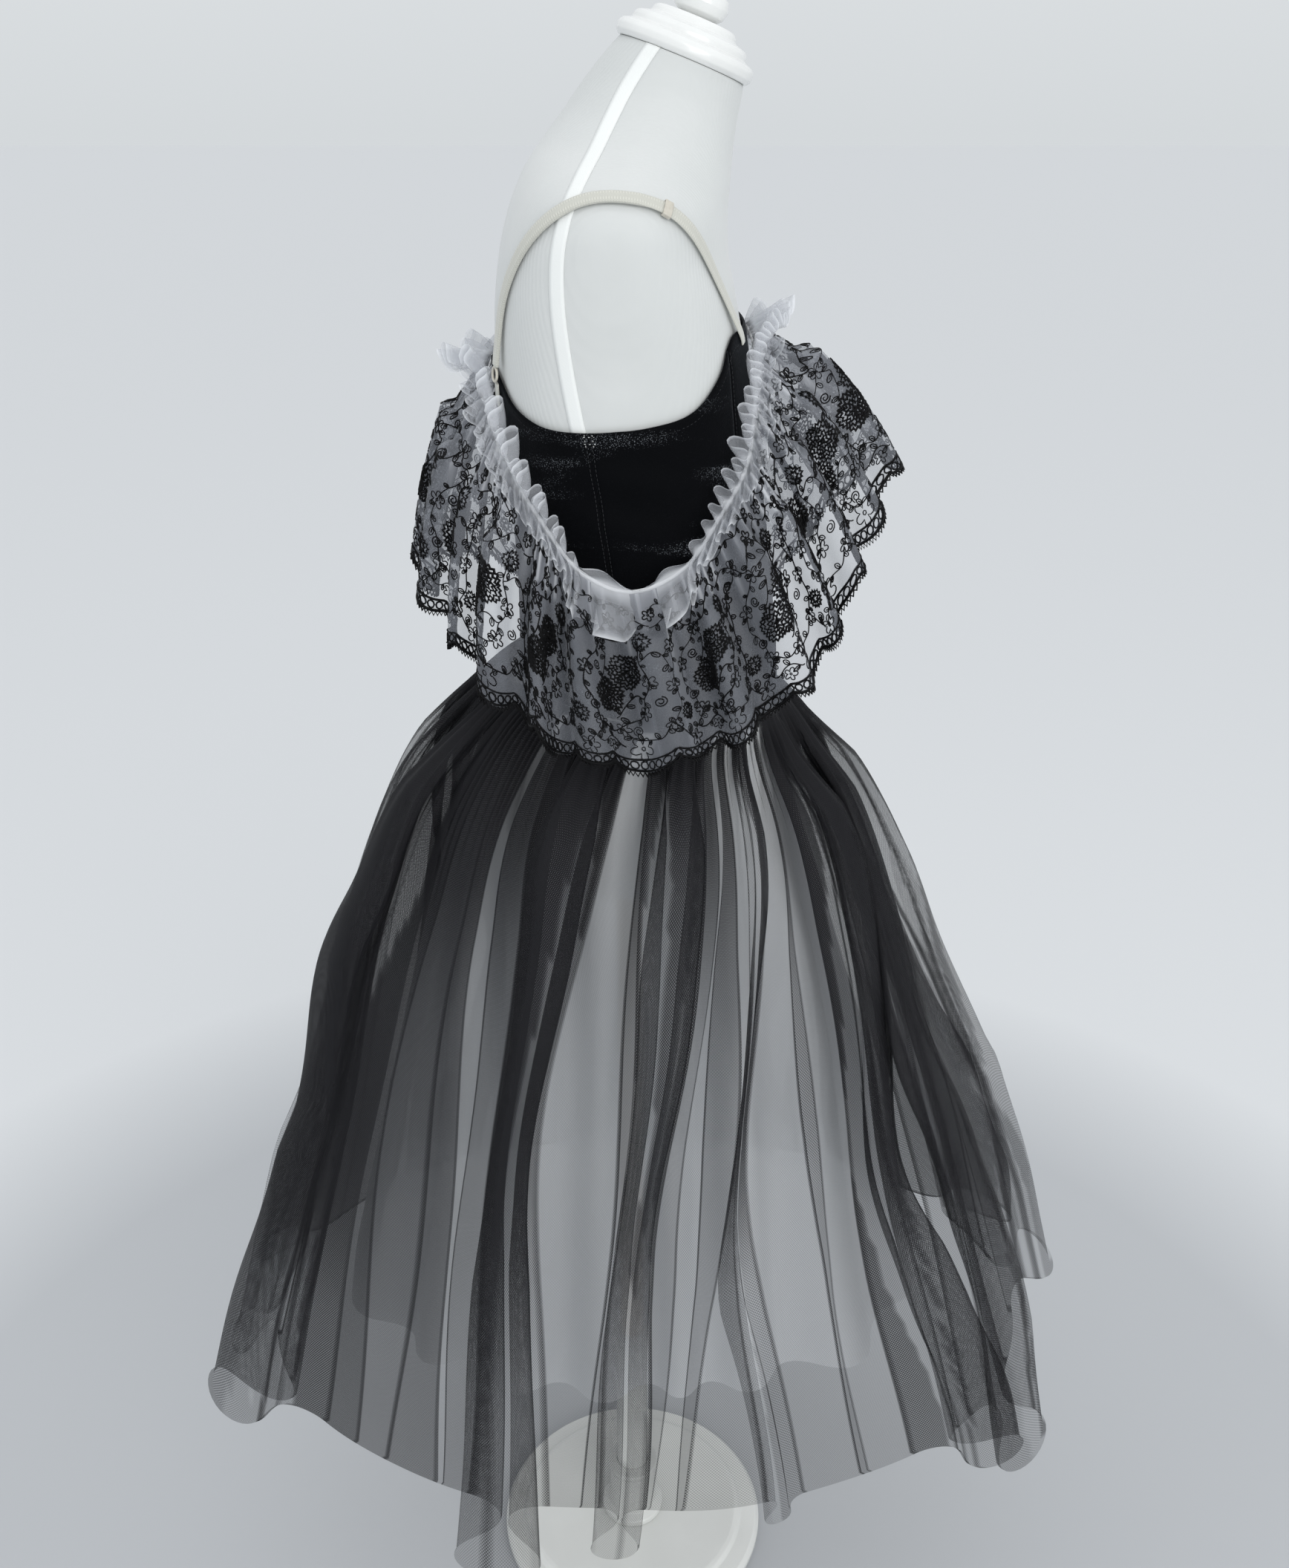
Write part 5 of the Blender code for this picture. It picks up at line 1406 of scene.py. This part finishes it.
# One row for each stretch of the skirt, from centre back through the wearer's right side:
# the bearings at the hem and halfway down where it ends, its width of cloth, how far a flute
# leans over, how deep it stands, and how many thicknesses of net lie in it. A flat stretch
# between flutes has no lean and a depth of 1, and a pleat laid flat counts as a stretch.
MIDDLE_DROP = 0.30
Fold = namedtuple("Fold", "until middle cloth tilt depth laid", defaults=[0.0, 1.0, 1.0])
SKIRT_FOLDS = [
    Fold(9, 9, 0.215, 0.25, 0.42, 1.6),
    Fold(19, 18, 0.070, 0.0, 1.0, 2.6),
    Fold(30, 29, 0.340, -0.35, 0.48, 8.0),
    Fold(37, 33, 0.080, 0.0, 1.0, 7.0),
    Fold(43, 45, 0.090, 0.0, 1.0, 4.0),
    Fold(53.2, 49.6, 0.090, 0.0, 1.0, 4.4),
    Fold(54, 52.4, 0.050),
    Fold(59, 59.5, 0.070, 0.0, 1.0, 2.6),
    Fold(74.5, 70.5, 0.350, 0.06, 0.45, 5.0),
    Fold(80.5, 87.6, 0.100),
    Fold(84, 88.6, 0.020, 0.0, 1.0, 2.0),
    Fold(93, 100, 0.270, -0.05, 0.55, 2.8),
    Fold(93.6, 104.5, 0.040, 0.0, 1.0, 1.9),
    Fold(99, 107, 0.020),
    Fold(99.8, 113.5, 0.050, 0.0, 1.0, 2.3),
    Fold(116, 115, 0.050),
    Fold(122.6, 118, 0.090, -0.35, 0.50, 2.0),
    Fold(133, 130, 0.075),
    Fold(134, 131.5, 0.012, 0.0, 1.0, 2.5),
    Fold(142, 139, 0.080),
    Fold(151, 149, 0.240, 0.35, 0.45, 5.5),
    Fold(154, 153, 0.018),
    Fold(166, 165, 0.300, -0.30, 0.45, 5.0),
    Fold(176, 174, 0.058, 0.0, 1.0, 1.6),
    Fold(188, 187, 0.270, 0.30, 0.50, 2.4),
    Fold(198, 199, 0.057, 0.0, 1.0, 2.2),
    Fold(209, 208, 0.255, -0.35, 0.50, 3.5),
    Fold(218, 219, 0.052),
    Fold(230, 229, 0.280, 0.25, 0.48, 4.2),
    Fold(239, 238, 0.052, 0.0, 1.0, 2.0),
    Fold(249, 250, 0.230, -0.30, 0.55, 3.0),
    Fold(257, 256, 0.046),
    Fold(267, 268, 0.220, 0.35, 0.55, 3.6),
    Fold(282, 280, 0.083),
    Fold(291, 292, 0.210, -0.35, 0.50, 3.0),
    Fold(300, 299, 0.052, 0.0, 1.0, 2.2),
    Fold(312, 311, 0.275, 0.30, 0.48, 4.0),
    Fold(321, 322, 0.052),
    Fold(332, 331, 0.250, -0.30, 0.50, 3.2),
    Fold(341, 342, 0.052, 0.0, 1.0, 1.8),
    Fold(352, 351, 0.225, 0.30, 0.42, 1.8),
    Fold(360, 360, 0.048),
]


def level_at(levels, drop):
    """The trough line's sizes at any drop below the waist."""
    drops = column(levels, "drop")
    sizes = [curve_through(drops, column(levels, f), drop) for f in ("front", "back", "side")]
    return Level(drop, *sizes, np.interp(drop, drops, column(levels, "fullest")))


def skirt_outline(level):
    """The trough line at one level, from centre back through the right side."""
    angles = np.linspace(0, FULL_TURN, OUTLINE_POINTS)
    half_depth = (level.back + level.front) / 2
    x, along = superellipse(angles, level.side, half_depth, SKIRT_BOXINESS)
    y = (level.back - level.front) / 2 - along
    settle = min(1.0, level.drop / (WAIST_FRONT_HEIGHT - HEM_HEIGHT))
    top = waist_height(np.clip(y, -WAIST_FRONT_REACH, WAIST_BACK_REACH)) - WAIST_SEAM_GAP
    z = top - (top - HEM_HEIGHT) * settle
    outward = unit(np.stack([-half_depth * np.sin(angles), level.side * np.cos(angles), 0 * angles], axis=1))
    return Outline(np.stack([x, y, z], axis=1), outward, closed=True)


def share_at_angle(outline, degrees):
    """Where a bearing from the pole meets the outline, as a share of its length."""
    bearing = np.unwrap(np.arctan2(-outline.points[:, 0], outline.points[:, 1]))
    return np.interp(np.radians(degrees), bearing, outline.reach)


def fold_borders(folds, outline, drop, deepest, swing):
    """Where each stretch starts and ends at one level: even at the waist, then by the table."""
    cloth = column(folds, "cloth")
    even = np.append(0.0, np.cumsum(cloth) / cloth.sum()) + share_at_angle(outline, 0.0)
    middle, hem = [
        share_at_angle(outline, np.append(0.0, column(folds, field))) for field in ("middle", "until")
    ]
    borders = sum(
        places * curve_through((0.0, MIDDLE_DROP, deepest), weight, drop)
        for places, weight in zip((even, middle, hem), np.eye(3))
    )
    borders[1:-1] += EDGE_WANDER * swing * np.sin(np.arange(1, len(folds)) * 1.5 + drop * 14)
    widths = np.maximum(np.diff(borders), NARROWEST_SHARE)
    borders[1:] = borders[0] + np.cumsum(widths) / widths.sum()
    return borders


def shared_cloth(folds, spread):
    """Cloth in each stretch: a flat one takes what it spans, and the flutes share out the rest."""
    cloth = column(folds, "cloth")
    flute = column(folds, "tilt") != 0
    if not flute.any():
        return cloth
    shared = np.where(flute, cloth, spread)
    shared[flute] *= (cloth.sum() - spread[~flute].sum()) / cloth[flute].sum()
    return shared


def thicknesses(along, out, end, fold):
    """How many thicknesses each point of a fold stands for, so that all of it looks as full as it lies."""
    along = np.append(along, end)
    steps = np.diff(along)
    run = np.hypot(steps, np.diff(np.append(out, 0.0)))
    facing = np.abs(steps) / run
    facing = (facing + np.roll(facing, 1)) / 2
    low = np.minimum(along[1:], along[:-1])
    high = np.maximum(along[1:], along[:-1])
    passes = np.sum((low <= along[:-1, None]) & (along[:-1, None] < high), axis=1)
    line = np.exp(-((facing / EDGE_LINE_WIDTH) ** 2))
    if not fold.tilt and fold.laid > LAID_FLAT_FROM:
        line[[0, -1]] = LAID_FLAT_RIM
    return fold.laid / np.maximum(1, passes) + EDGE_LINE * line


def fold_rows(levels, rows, folds, samples):
    """Grid, UV in metres of cloth, and how thick the cloth lies there, for a gathered skirt."""
    cloth = column(folds, "cloth")
    number = np.arange(len(folds))
    starts = np.cumsum(cloth) - cloth
    flat = np.concatenate([
        start + np.linspace(0, length, count + 1)[:-1]
        for start, length, count in zip(starts, cloth, samples)
    ])
    gathers = np.sin(FULL_TURN * flat / WAIST_GATHER_WIDTH)
    deepest = levels[-1].drop
    shares = np.linspace(0, 1, rows)
    drops = deepest * (shares**1.25 * 0.85 + shares * 0.15)
    grid = []
    layers = []
    for drop in drops:
        level = level_at(levels, drop)
        outline = skirt_outline(level)
        down = drop / deepest
        swing = math.sin(math.pi * min(1, down) ** 0.8)
        borders = fold_borders(folds, outline, drop, deepest, swing)
        change = LEAN_CHANGE * np.sin(number * 2.3 + drop * 8.0) + CRINKLE * np.sin(number * 3.1 + drop * 38)
        tilts = LEAN_OVER * column(folds, "tilt") * (down**0.6 + change * swing)
        spread = np.diff(borders) * outline.length
        places = []
        heights = []
        thick = []
        lengths = shared_cloth(folds, spread)
        each = zip(folds, folds[-1:] + folds, samples, borders, borders[1:], spread, lengths, tilts)
        for fold, before, count, begin, end, width, length, tilt in each:
            along, out = fold_shape(lean_of(length, width, level.fullest), count)
            along = begin + (end - begin) * (along + tilt * out * fold.depth)
            out = out * width * fold.depth
            crowding = max(1.0, length / width / level.fullest)
            if fold.laid > LAID_FLAT_FROM and not fold.tilt:
                crowding += WAIST_PACKING * math.exp(-((drop / WAIST_PACKING_REACH) ** 2))
            thinned = fold._replace(laid=1 + (fold.laid - 1) * (LAID_AT_WAIST - LAID_LOSS * down**1.5))
            laid = crowding * thicknesses(along * outline.length, out, end * outline.length, thinned)
            laid[0] += FOLD_LINE * (fold.laid != before.laid)
            places.append(along)
            heights.append(out)
            thick.append(laid)
        gathered = WAIST_GATHER_DEPTH * math.exp(-((drop / WAIST_GATHER_FADE) ** 2)) * gathers
        point, outward = outline.at(np.concatenate(places))
        out = np.concatenate(heights) + gathered * min(1.0, drop / WAIST_GATHER_START)
        row = point + outward * out[:, None]
        bearing = np.arctan2(row[:, 0], row[:, 1])
        row[:, 2] += HEM_UNEVENNESS * down**3 * np.sin(5 * bearing + 1) * np.cos(3 * bearing)
        grid.append(row)
        layers.append(np.concatenate(thick))
    return np.array(grid), flat_grid(np.append(flat, cloth.sum()), drops), np.array(layers)


# Fine net, part thread and part hole: a round opening in each mesh.
black_tulle = Finish("black_tulle", (0.010, 0.010, 0.012), 0.7, {"Specular IOR Level": 0.15}, place="UV")
split = black_tulle.node("SeparateXYZ", {"Vector": black_tulle.place}).outputs
scaled = [
    black_tulle.math("MULTIPLY", split[axis], FULL_TURN / NET_MESH_SIZE * stretch)
    for axis, stretch in (("X", 1.0), ("Y", NET_STRETCH))
]
cells = black_tulle.math("MULTIPLY", *[black_tulle.math("COSINE", place) for place in scaled])
open_share = black_tulle.math("MULTIPLY_ADD", cells, NET_SWING, 1 - NET_COVER)
cover_by_layers(black_tulle, open_share, use_clamp=True)
black_tulle.bump(cells, 0.2, 0.0002)

skirt_samples = [
    FLUTE_SAMPLES if fold.tilt else FLAT_SAMPLES if fold.cloth > NARROWEST_FLAT else NARROW_SAMPLES
    for fold in SKIRT_FOLDS
]
grid, uv, layers = fold_rows(SKIRT_LEVELS, SKIRT_ROWS, SKIRT_FOLDS, skirt_samples)
turned_in = grid[0] - unit(grid[0] * (1, 1, 0)) * WAIST_TURN_IN + (0, 0, WAIST_TURN_IN / 2)
grid = np.concatenate([[turned_in], grid])
uv = np.concatenate([uv[:1] - (0, WAIST_TURN_IN), uv])
layers = np.concatenate([layers[:1], layers])
layers[:2] = WAIST_LAYERS
skirt = cloth_mesh("tulle_skirt", grid, black_tulle, uv=uv, closed=True, layers=layers)
fitted(skirt, "skirt")
skirt_cloth_width = column(SKIRT_FOLDS, "cloth").sum() * CLOTH_IN_SURFACE


# ---------------------------------------------------------------------------
# The underskirt: a shorter, straighter layer of sheer white cloth with a flare,
# which makes the stretches between the black flutes look milky.

UNDERSKIRT_LEVELS = [
    Level(0.004, 0.1130, 0.0865, 0.1070, 1.00),
    Level(0.065, 0.1190, 0.1115, 0.1182, 1.02),
    Level(0.180, 0.1480, 0.1440, 0.1260, 1.15),
    Level(0.380, 0.2020, 0.1930, 0.1320, 1.17),
    Level(0.555, 0.2420, 0.2340, 0.1500, 1.20),
]
UNDERSKIRT_FOLDS = [1.2, 0.9, 1.1, 1.3, 0.8, 1.0, 1.2, 0.9, 1.1, 0.8, 1.3, 1.0, 0.9, 1.2, 1.0, 1.1]
UNDERSKIRT_CLOTH = (1.66, 0.60)
UNDERSKIRT_SETBACK = 0.0055
UNDERSKIRT_ROWS = 40
UNDERSKIRT_SAMPLES = 16

shares = np.array(UNDERSKIRT_FOLDS) / sum(UNDERSKIRT_FOLDS)
under_folds = [
    Fold(until, until, width) for until, width in zip(np.cumsum(shares) * 360, shares * UNDERSKIRT_CLOTH[0])
]
under_samples = [UNDERSKIRT_SAMPLES] * len(under_folds)
grid, uv, layers = fold_rows(UNDERSKIRT_LEVELS, UNDERSKIRT_ROWS, under_folds, under_samples)
grid[0, :, 2] -= UNDERSKIRT_SETBACK
white_sheer = organza("white_sheer", (0.90, 0.92, 0.95), 0.58, (0.93, 0.95, 0.97))
underskirt = cloth_mesh("sheer_underskirt", grid, white_sheer, uv=uv, closed=True, layers=layers)
fitted(underskirt, "underskirt")


# ---------------------------------------------------------------------------
# Floor, soft daylight and the camera, which looks down a little at the right side.

# Matt pale board with a painted shadow: greyer under the object than further out.
pale_floor = Finish("pale_floor", (0.60, 0.61, 0.62), 0.85)
distance = pale_floor.node("VectorMath", {0: pale_floor.place}, operation="LENGTH").outputs["Value"]
away = pale_floor.range(distance, 0.3, 1.6, interpolation_type="SMOOTHSTEP")
# Painted shadow: the colour is darkest near the object and pales with distance from it.
pale_floor.tint(away, (0.47, 0.485, 0.505), (0.68, 0.695, 0.71))
pale_floor.bump(pale_floor.noise(160.0, 2.0), 0.1, 0.0005)

bpy.ops.mesh.primitive_plane_add(size=300, location=(0, 0, -0.0005))
floor = bpy.context.object
floor.name = "floor"
floor.data.materials.append(pale_floor.material)


def studio_sky():
    """Pale light all round, as bright as the floor at the horizon and brighter overhead."""
    world = bpy.data.worlds.new("studio")
    world.use_nodes = True
    tree = world.node_tree
    direction = add_node(tree, "ShaderNodeTexCoord").outputs["Generated"]
    height = add_node(tree, "ShaderNodeSeparateXYZ", {"Vector": direction}).outputs["Z"]
    reach = {"Value": height, "From Min": 0.0, "From Max": 0.7}
    share = add_node(tree, "ShaderNodeMapRange", reach).outputs["Result"]
    tones = {0: share, 6: (0.66, 0.69, 0.71, 1), 7: (0.98, 1.0, 1.02, 1)}
    color = add_node(tree, "ShaderNodeMix", tones, data_type="RGBA")
    tree.links.new(color.outputs[2], tree.nodes["Background"].inputs["Color"])
    return world


bpy.context.scene.world = studio_sky()

Lamp = namedtuple("Lamp", "name place aim size power color")
LAMPS = [
    Lamp("window", (-2.6, -1.1, 1.9), (0, 0, 0.8), 2.0, 34, (1.0, 0.99, 0.97)),
    Lamp("ceiling", (-0.4, 1.6, 3.2), (0, 0, 0.6), 2.6, 6, (0.96, 0.98, 1.0)),
]
for lamp in LAMPS:
    light = bpy.data.lights.new(lamp.name, "AREA")
    light.size = lamp.size
    light.energy = lamp.power
    light.color = lamp.color
    holder = new_object(lamp.name, light)
    holder.location = lamp.place
    holder.rotation_euler = (Vector(lamp.aim) - Vector(lamp.place)).to_track_quat("-Z", "Y").to_euler()

camera_data = bpy.data.cameras.new("camera")
camera_data.lens = 33.36
camera_data.sensor_width = 36
camera = new_object("camera", camera_data)
camera.location = (-1.04, -0.012, 1.28)
camera.rotation_euler = (math.radians(65.8), 0, math.radians(-90))
bpy.context.scene.camera = camera
bpy.context.scene.view_settings.view_transform = "Standard"
bpy.context.scene.cycles.transparent_max_bounces = 32
